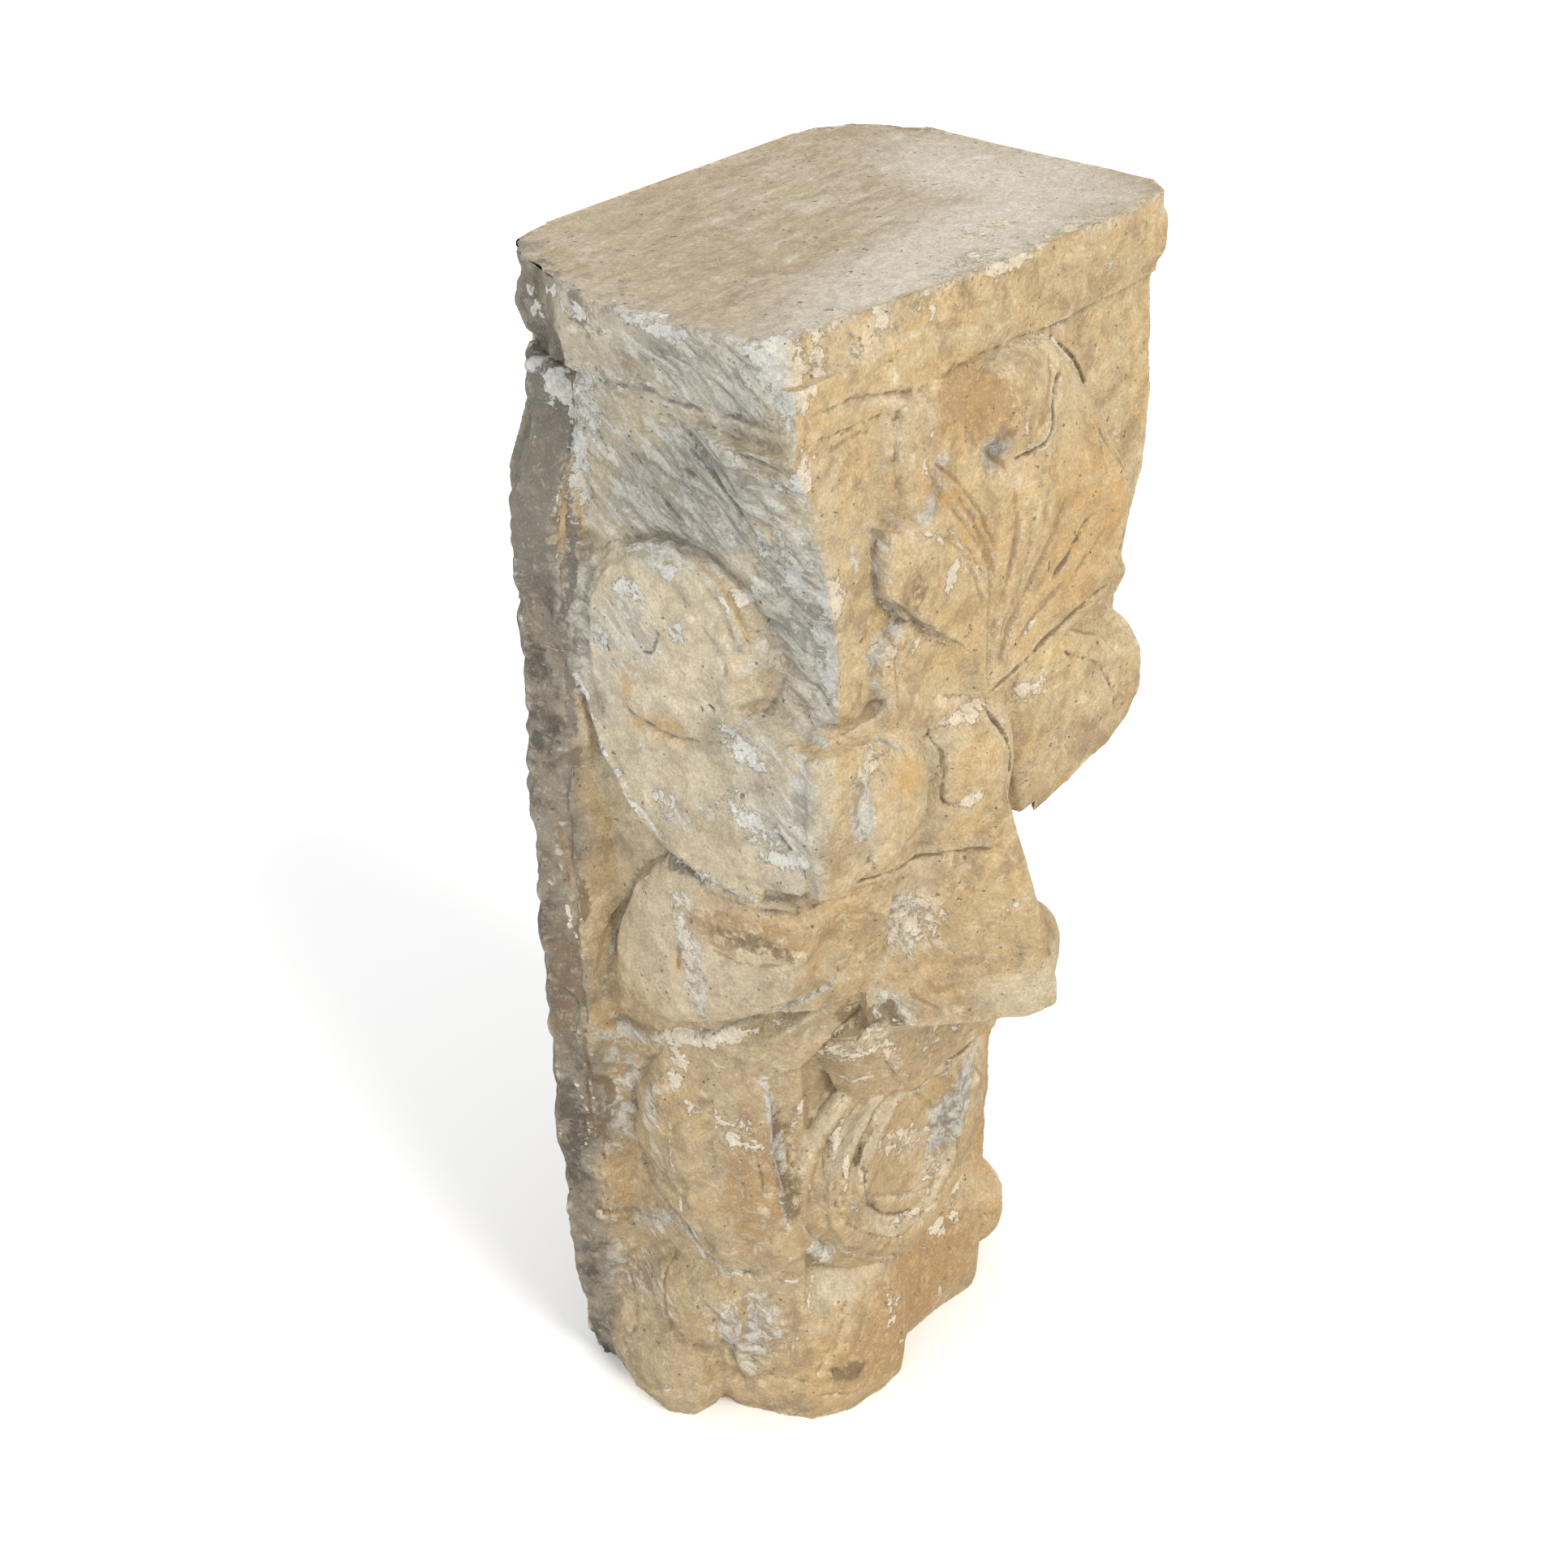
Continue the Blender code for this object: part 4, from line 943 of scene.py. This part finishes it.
FRONT_STAINS = {
    "grey": (
         (-52, 96, 7, 22, 20, 0.7), (-8, 88, 11, 13, 30, 1.0), (-106, 246, 9, 26, 0, 0.5),
        (-54, 356, 16, 22, 0, 0.45), (22, 540, 18, 36, 30, 0.9), (-84, 592, 20, 9, 50, 0.6),
        # The last of these, down the trough left of the mouth, is painted shade.
        (-108, 668, 9, 34, 0, 0.5), (-66, 400, 14, 12, 0, 0.5), (-106, 512, 5, 56, 0, 0.9),
    ),
    "dark": (
         # The first two are painted shade: down the trough left of the mouth, and in the nostril.
         (-103, 520, 8, 50, 0, 0.4), (-80, 406, 7, 9, 0, 0.7), (-66, 704, 12, 8, 0, 0.6),
        (-64, 148, 10, 14, 0, 0.35),
    ),
    "orange": (
         (-44, 98, 28, 12, 42, 1.0), (-18, 132, 36, 14, 48, 0.9), (66, 150, 44, 56, 0, 1.0),
        (0, 170, 60, 50, 0, 0.4), (-76, 246, 18, 12, 0, 0.9), (-14, 262, 20, 18, 0, 0.45),
        (-118, 34, 20, 16, 0, 0.2), (6, 70, 14, 18, 0, 0.5), (-30, 150, 26, 30, 0, 0.4),
        (-74, 100, 6, 30, 0, 0.4), (-22, 62, 28, 24, 0, 0.8), (0, 690, 90, 50, 0, 0.8),
        (100, 600, 44, 120, 0, 1.0),
    ),
    "beige": (
         (-6, 398, 44, 18, 0, 0.6), (-118, 130, 16, 90, 0, 0.4), (-40, 420, 60, 14, 0, 0.5),
        (-96, 255, 22, 44, 0, 0.35),
    ),
    "rust": (
         (0, 690, 90, 50, 0, 0.55), (-22, 60, 28, 24, 0, 0.55), (98, 600, 30, 60, 0, 0.45),
    ),
    "pale": (
         (-136, 13, 10, 22, 0, 1.0), (-36, 145, 5, 14, 0, 0.8), (-112, 134, 9, 16, 0, 0.9),
        (-134, 60, 6, 14, 0, 0.9), (-64, 178, 18, 6, 10, 0.6), (-16, 236, 20, 5, 0, 0.8),
        (-24, 280, 12, 6, 0, 0.8), (38, 244, 18, 8, -20, 0.8), (-98, 228, 18, 8, 0, 0.7),
        (12, 2, 24, 4, 0, 1.0), (-54, 350, 14, 22, 20, 0.55), (-60, 440, 5, 30, -30, 0.7),
        (-78, 430, 12, 26, 30, 0.6), (-28, 536, 34, 11, 30, 0.6), (-66, 466, 9, 4, -20, 0.8),
        (0, 448, 50, 24, 0, 0.35), (-30, 664, 4, 30, 0, 0.5),
    ),
}
TOP_STAINS = {
    "beige": (
         (10, -78, 150, 40, 4, 0.85), (120, -30, 48, 90, 0, 0.9),
    ),
    "pale": (
         (44, -72, 24, 8, 4, 0.9), (-146, 0, 4, 60, 0, 0.6), (66, -104, 40, 4, 4, 0.8),
        (-4, -92, 40, 5, 4, 0.6),
    ),
    "dark": (
         (-49, -60, 4, 1.6, 0, 1.0), (-140, 62, 14, 20, 0, 0.4),
    ),
}
STAINS = {"left": LEFT_STAINS, "front": FRONT_STAINS, "top": TOP_STAINS}


def toned(skin):
    """How strongly each point is painted in each tone."""
    tones = {tone: np.zeros(len(skin.points)) for tone in TONES}
    behind = ramp(skin.normals[:, 1], 0.4, 0.8)
    tones["grey"] = behind * ramp(noise(skin.points, 0.06, SEED + 17), -0.1, 0.6) * 0.5
    for face, strokes in STROKES.items():
        for tone, inner, outer, _, route in strokes:
            if tone == "plain":
                continue
            drawn = skin.stroke(face, (max(min(inner, outer), THINNEST),) * 2, route)
            name, strength = INKS.get(tone, (tone, 1))
            tones[name] = np.maximum(tones[name], drawn * strength)
    for face, stains in STAINS.items():
        for tone, patches in stains.items():
            for x, y, wide, tall, turn, strength in patches:
                drawn = skin.patch(face, (x, y), (wide, tall), turn)
                tones[tone] = np.maximum(tones[tone], drawn * strength)
    return tones


def paint(mesh):
    """Stores, point by point, where the stone is worn, stained or pale, and its painted shade and
    highlight.
    """
    skin = Skin(mesh)
    points, normals = skin.points, skin.normals
    tones = toned(skin)
    near = blurred(points, skin.edges, 5)
    wide = blurred(near, skin.edges, 40)
    crest = ((points - near) * normals).sum(1)
    swell = ((points - wide) * normals).sum(1)
    drop = HEIGHT - points[:, 2]
    low = ramp(drop + noise(points, 0.04, SEED + 14) * 0.02, 0.24, 0.42)
    inside = ramp(-points[:, 0], 0.1, 0.11) * ramp(points[:, 1], -0.096, -0.088)
    inside *= 1 - ramp(-normals[:, 1], 0.4, 0.8)
    outward = ramp(-normals[:, 0], 0.25, 0.8) * (0.25 + 0.75 * ramp(-points[:, 0], 0.086, 0.1))
    hidden = np.maximum(ramp(normals[:, 1], 0.4, 0.8), 0.7 * ramp(normals[:, 0], 0.4, 0.8))
    hidden *= 0.5 + 0.5 * noise(points, 0.045, SEED + 16)
    cool = np.maximum(np.maximum(outward, inside) * (1 - 0.8 * low), hidden)
    top = ramp(normals[:, 2], 0.6, 0.9) * ramp(points[:, 2], HEIGHT - 0.01, HEIGHT - 0.002)
    strip = ramp(points[:, 1] + noise(points, 0.03, SEED + 8) * 0.006, 0.04, 0.052)
    strip *= ramp(np.abs(points[:, 0]), 0.09, 0.115) * (1 - top)
    columns = {
        # Pale edges, partly wear and partly painted highlight, and painted shade in creases and
        # hollows.
        "wear_and_shade": (ramp(crest, 0.00012, 0.0007), ramp(-crest, 0.0001, 0.00065),
                 ramp(-swell, 0.0004, 0.0035)),
        "mark": (tones["dark"], tones["pale"], tones["rust"]),
        "tint": (tones["orange"], tones["grey"], cool),
        "zone": (top, strip, tones["beige"]),
        # The lower zone, and painted highlight, partly rubbed wear, on swellings and ridges.
        "depth": (low, ramp(swell, 0.0006, 0.0042), ramp(crest, 0.00004, 0.0003)),
    }
    for name, parts in columns.items():
        colours = np.ones((len(points), 4), np.float32)
        colours[:, :3] = np.clip(np.stack(parts, 1), 0, 1)
        layer = mesh.attributes.new(name, "FLOAT_COLOR", "POINT")
        layer.data.foreach_set("color", colours.ravel())


class Nodes:
    """A short way to wire up a material."""

    def __init__(self, name):
        self.material = bpy.data.materials.new(name)
        self.material.use_nodes = True
        self.tree = self.material.node_tree
        self.shader = self.tree.nodes["Principled BSDF"]

    def make(self, kind, inputs=(), **settings):
        """A node with its settings and its inputs."""
        node = self.tree.nodes.new(kind)
        for key, value in settings.items():
            setattr(node, key, value)
        for key, value in dict(inputs).items():
            self.feed(node.inputs[key], value)
        return node

    def feed(self, socket, value):
        """Links a socket to another, or gives it a plain value."""
        if isinstance(value, bpy.types.NodeSocket):
            self.tree.links.new(value, socket)
        else:
            socket.default_value = value

    def noise(self, where, scale, detail, rough, distortion=0.0):
        """Cloudy noise from 0 to 1."""
        node = self.make("ShaderNodeTexNoise", {
            "Vector": where, "Scale": scale, "Detail": detail, "Roughness": rough,
            "Distortion": distortion,
        })
        return node.outputs["Fac"]

    def ramp(self, value, low, high, to_low=0.0, to_high=1.0):
        """A smooth climb from one value to another; low may be above high."""
        node = self.make("ShaderNodeMapRange", {
            "Value": value, "From Min": low, "From Max": high, "To Min": to_low, "To Max": to_high,
        }, interpolation_type="SMOOTHSTEP")
        return node.outputs["Result"]

    def math(self, operation, one, two):
        """Two values, each a socket or a number, worked into one."""
        return self.make("ShaderNodeMath", {0: one, 1: two}, operation=operation).outputs[0]

    def times(self, one, two):
        return self.math("MULTIPLY", one, two)

    def plus(self, one, two):
        return self.math("ADD", one, two)

    def most(self, one, two):
        return self.math("MAXIMUM", one, two)

    def mix(self, share, one, two):
        """Blends two colours, each of them a socket or its red, green and blue."""
        node = self.make("ShaderNodeMix", {0: share}, data_type="RGBA")
        for index, colour in ((6, one), (7, two)):
            self.feed(node.inputs[index], (*colour, 1.0) if isinstance(colour, tuple) else colour)
        return node.outputs[2]

    def parts(self, name):
        """The three values stored in a colour attribute."""
        node = self.make("ShaderNodeAttribute", attribute_name=name)
        split = self.make("ShaderNodeSeparateColor", {"Color": node.outputs["Color"]})
        return split.outputs[0], split.outputs[1], split.outputs[2]

    def stretched(self, where, scale, turn):
        """Coordinates drawn out along turned axes."""
        node = self.make("ShaderNodeMapping", {
            "Vector": where, "Rotation": turn, "Scale": scale,
        }, vector_type="TEXTURE")
        return node.outputs[0]


class Limestone(Nodes):
    """Warm ochre limestone, greyer on its flanks, dark and rough behind, pale where bruised; painted
    shade and highlight.
    """

    def __init__(self):
        super().__init__("weathered_limestone")
        where = self.make("ShaderNodeTexCoord").outputs["Object"]
        self.edge, self.crevice, self.hollow = self.parts("wear_and_shade")
        self.dark, self.pale, self.rust = self.parts("mark")
        self.orange, self.grey, self.cool_side = self.parts("tint")
        self.top, self.strip, self.beige = self.parts("zone")
        self.low, self.bulge, self.ridge = self.parts("depth")
        self.clouds = self.noise(where, 12.0, 6.0, 0.62, 0.6)
        self.mottle = self.noise(where, 42.0, 8.0, 0.7, 0.4)
        self.blots = self.noise(where, 120.0, 6.0, 0.7, 0.5)
        self.grain = self.noise(where, 560.0, 3.0, 0.75)
        self.flecks = self.noise(where, 70.0, 5.0, 0.65, 0.8)
        self.speck = self.ramp(self.noise(where, 260.0, 2.0, 0.5), 0.7, 0.76)
        across = self.stretched(where, (1.0, 0.34, 1.0), (0, 0, 0.1))
        self.brushed = self.noise(across, 34.0, 8.0, 0.74, 0.6)
        down = self.stretched(where, (0.42, 0.42, 1.5), (-0.9, 0.0, 0.0))
        self.streaks = self.noise(down, 60.0, 8.0, 0.74, 0.8)
        self.scratches = self.noise(down, 90.0, 4.0, 0.6, 1.2)
        self.lay_ground()
        self.lay_bed()
        self.bleach()
        self.stain()
        self.soil()
        self.bruise()
        self.finish()

    def spotted(self, colour, pattern, start, end, strength, shade):
        """A colour with spots of a shade where the pattern is past its start."""
        return self.mix(self.ramp(pattern, start, end, 0.0, strength), colour, shade)

    def mottled(self, start, plain, veined, deep, light):
        """A ground colour: clouds of two tones, with darker blots and lighter ones."""
        colour = self.mix(self.ramp(self.clouds, start, 0.6), plain, veined)
        colour = self.spotted(colour, self.mottle, 0.48, 0.62, 0.9, deep)
        return self.spotted(colour, self.mottle, 0.44, 0.34, 0.85, light)

    def cover(self, share, colour):
        """Lays a colour over what is there."""
        self.colour = self.mix(share, self.colour, colour)

    def lay_ground(self):
        """Warm in front, more ochre low down, and cooler on the flanks."""
        warm = self.mottled(
            0.38, (0.66, 0.47, 0.235), (0.61, 0.475, 0.28), (0.43, 0.3, 0.16), (0.8, 0.65, 0.42)
        )
        ochre = self.mottled(
            0.38, (0.52, 0.36, 0.175), (0.475, 0.35, 0.195), (0.34, 0.245, 0.14), (0.66, 0.52, 0.33)
        )
        cool = self.mottled(
            0.4, (0.6, 0.52, 0.37), (0.52, 0.49, 0.4), (0.33, 0.29, 0.22), (0.76, 0.71, 0.58)
        )
        colour = self.mix(self.cool_side, self.mix(self.low, warm, ochre), cool)
        colour = self.spotted(colour, self.blots, 0.52, 0.66, 0.42, (0.36, 0.26, 0.15))
        self.colour = self.spotted(colour, self.blots, 0.46, 0.33, 0.42, (0.84, 0.73, 0.54))

    def lay_bed(self):
        """The sawn top bed, greyer and brushed across."""
        sawn = self.mix(self.ramp(self.clouds, 0.38, 0.62), (0.49, 0.4, 0.285), (0.56, 0.48, 0.365))
        sawn = self.spotted(sawn, self.brushed, 0.47, 0.62, 0.8, (0.38, 0.31, 0.22))
        sawn = self.spotted(sawn, self.brushed, 0.45, 0.34, 0.8, (0.7, 0.63, 0.51))
        self.cover(self.top, sawn)

    def bleach(self):
        """Beige where the weather has bleached it, and paler where it stands out: rub and painted
        highlight.
        """
        beige = self.mix(self.ramp(self.mottle, 0.36, 0.62), (0.78, 0.68, 0.5), (0.57, 0.49, 0.345))
        beige = self.mix(self.top, beige, (0.72, 0.68, 0.6))
        self.cover(self.times(self.beige, self.ramp(self.clouds, 0.3, 0.55, 0.65, 0.95)), beige)
        highlight_and_rub = self.mix(self.cool_side, (0.77, 0.615, 0.385), (0.76, 0.7, 0.56))
        highlight_and_rub = self.mix(self.low, highlight_and_rub, (0.64, 0.49, 0.29))
        # Painted highlight, partly rubbed wear, on swellings and ridges.
        shine = self.most(self.times(self.bulge, 0.5), self.times(self.ridge, 0.55))
        self.cover(self.times(shine, self.ramp(self.mottle, 0.34, 0.6, 1.0, 0.2)), highlight_and_rub)

    def stain(self):
        """A streaky grey veil, orange stains, and the dark crust of the rough strip."""
        slate = self.mix(self.ramp(self.streaks, 0.4, 0.58), (0.3, 0.298, 0.28), (0.76, 0.74, 0.66))
        veil = self.plus(self.times(self.grey, 1.4), self.ramp(self.streaks, 0.3, 0.7, -0.6, 0.5))
        veil = self.ramp(self.plus(veil, self.ramp(self.clouds, 0.3, 0.7, -0.45, 0.3)), 0.15, 0.85)
        self.cover(self.times(veil, self.ramp(self.grey, 0.0, 0.3, 0.0, 0.88)), slate)
        orange = self.times(self.orange, self.ramp(self.blots, 0.3, 0.6, 1.0, 0.25))
        self.cover(orange, (0.61, 0.36, 0.12))
        crust = self.ramp(self.mottle, 0.42, 0.58)
        crust = self.mix(crust, (0.245, 0.22, 0.18), (0.07, 0.064, 0.056))
        crust = self.spotted(crust, self.blots, 0.46, 0.32, 0.6, (0.42, 0.385, 0.31))
        crust = self.spotted(crust, self.clouds, 0.55, 0.42, 0.5, (0.36, 0.32, 0.25))
        self.cover(self.strip, crust)

    def soil(self):
        """Painted shade in hollows and creases; rust lines; dark lines of cracks and painted shade."""
        # Painted shade darkens the hollows.
        hollow_shade = self.times(self.hollow, self.ramp(self.mottle, 0.3, 0.58, 0.3, 1.0))
        self.cover(self.times(hollow_shade, 0.4), (0.36, 0.265, 0.16))
        ragged = self.ramp(self.blots, 0.3, 0.62, -0.32, 0.32)
        crease_shade = self.mix(self.cool_side, (0.4, 0.28, 0.15), (0.33, 0.31, 0.27))
        black = self.mix(self.cool_side, (0.19, 0.12, 0.06), (0.18, 0.17, 0.15))
        # Rust lines, painted shade in the creases, and dark lines in the cuts that are partly cracks
        # and partly painted shade.
        for mark, start, end, full, strength, shade in (
            (self.rust, 0.22, 0.62, 0.15, 0.75, (0.41, 0.255, 0.12)),
            (self.crevice, 0.3, 0.8, 0.2, 0.5, crease_shade),
            (self.dark, 0.25, 0.62, 0.15, 0.82, black),
        ):
            lines = self.ramp(self.plus(mark, ragged), start, end)
            self.cover(self.times(lines, self.ramp(mark, 0.02, full, 0.0, strength)), shade)

    def bruise(self):
        """Chalky edges with painted highlight, bruises, scratches, flecks, then dark specks and the
        grain.
        """
        # Pale edges: partly chalky wear, partly painted highlight.
        edge = self.times(self.edge, self.ramp(self.blots, 0.42, 0.54))
        bruised = self.plus(self.pale, self.ramp(self.blots, 0.32, 0.68, -0.45, 0.45))
        bruised = self.times(self.ramp(bruised, 0.46, 0.58), self.ramp(self.pale, 0.02, 0.2))
        flecks = self.ramp(self.flecks, 0.68, 0.695)
        flecks = self.times(flecks, self.ramp(self.cool_side, 0.0, 1.0, 0.35, 0.9))
        chalk_and_highlight = self.most(self.times(edge, 0.8), self.times(bruised, 0.92))
        chalk_and_highlight = self.most(chalk_and_highlight, self.ramp(self.scratches, 0.67, 0.71, 0.0, 0.35))
        self.chalk_and_highlight = self.most(chalk_and_highlight, flecks)
        self.cover(self.chalk_and_highlight, self.mix(self.cool_side, (0.8, 0.7, 0.54), (0.74, 0.74, 0.7)))
        self.cover(self.times(self.speck, 0.65), (0.14, 0.105, 0.075))
        colour = self.spotted(self.colour, self.grain, 0.38, 0.62, 0.32, (0.27, 0.205, 0.13))
        self.colour = self.spotted(colour, self.grain, 0.46, 0.3, 0.25, (0.8, 0.7, 0.54))

    def finish(self):
        """Feeds the shader its colour, roughness and fine relief."""
        self.feed(self.shader.inputs["Base Color"], self.colour)
        self.feed(self.shader.inputs["Roughness"], self.ramp(self.mottle, 0.3, 0.7, 0.95, 0.82))
        self.shader.inputs["Specular IOR Level"].default_value = 0.25
        tooled = self.times(self.streaks, self.plus(self.times(self.grey, 1.2), 0.4))
        height = self.plus(self.plus(self.times(self.grain, 0.3), self.blots), tooled)
        height = self.math("SUBTRACT", height, self.times(self.speck, 0.6))
        height = self.plus(height, self.times(self.chalk_and_highlight, 0.3))
        bump = self.make("ShaderNodeBump", {"Strength": 1.0, "Distance": 0.0036, "Height": height})
        self.feed(self.shader.inputs["Normal"], bump.outputs["Normal"])


def flat_white():
    """The floor's matt white."""
    floor = Nodes("studio_floor")
    floor.shader.inputs["Base Color"].default_value = (0.95, 0.95, 0.95, 1.0)
    floor.shader.inputs["Roughness"].default_value = 0.9
    floor.shader.inputs["Specular IOR Level"].default_value = 0.0
    return floor.material


def build_stone():
    """Carves the block, fuses it, roughens and paints its skin, and thins it out."""
    carver = Carver()
    for carve in (carve_block, carve_leaf, carve_volutes, carve_brow, carve_nose, carve_cheeks,
                  carve_mouth, carve_chin):
        carve(carver)
    mesh = fuse(carver)
    roughen(mesh)
    paint(mesh)
    block = thinned(mesh, "carved_limestone")
    block.data.transform(Matrix.Translation(SHIFT))
    block.data.materials.append(Limestone().material)
    block.data.polygons.foreach_set("use_smooth", [True] * len(block.data.polygons))
    block.data.set_sharp_from_angle(angle=math.radians(55))
    return block


def build_studio():
    """A plain white floor, a soft white sky, a warm key from the front and a cool fill."""
    bpy.ops.mesh.primitive_plane_add(size=24)
    floor = bpy.context.object
    floor.name = "floor"
    floor.data.materials.append(flat_white())
    world = bpy.data.worlds.new("studio")
    world.use_nodes = True
    sky = world.node_tree.nodes["Background"]
    sky.inputs["Color"].default_value = (1.0, 1.0, 1.0, 1.0)
    sky.inputs["Strength"].default_value = 0.98
    bpy.context.scene.world = world
    for name, colour, strength, spread, source in (
        ("key", (1.0, 0.95, 0.86), 1.75, 0.35, (-0.15, -0.85, 0.8)),
        ("fill", (0.88, 0.95, 1.0), 0.45, 0.9, (-0.95, -0.1, 0.55)),
    ):
        lamp = bpy.data.lights.new(name, "SUN")
        lamp.color = colour
        lamp.energy = strength
        lamp.angle = spread
        put(name, lamp).rotation_euler = Vector(source).to_track_quat("Z", "Y").to_euler()
    bpy.context.scene.view_settings.view_transform = "Standard"


def build_camera():
    """Looks down at the stone's left front corner from above."""
    around = math.radians(CAMERA_AROUND)
    above = math.radians(CAMERA_ABOVE)
    away = Vector((
        math.sin(around) * math.cos(above), -math.cos(around) * math.cos(above), math.sin(above)
    ))
    lens = bpy.data.cameras.new("camera")
    lens.sensor_width = 36
    lens.lens = LENS
    camera = put("camera", lens)
    camera.location = Vector(CAMERA_TARGET) + Vector(SHIFT) + away * CAMERA_DISTANCE
    camera.rotation_euler = away.to_track_quat("Z", "Y").to_euler()
    bpy.context.scene.camera = camera


stone_block = build_stone()
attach(stone_block, "root")
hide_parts("carved_keystone")
build_studio()
build_camera()
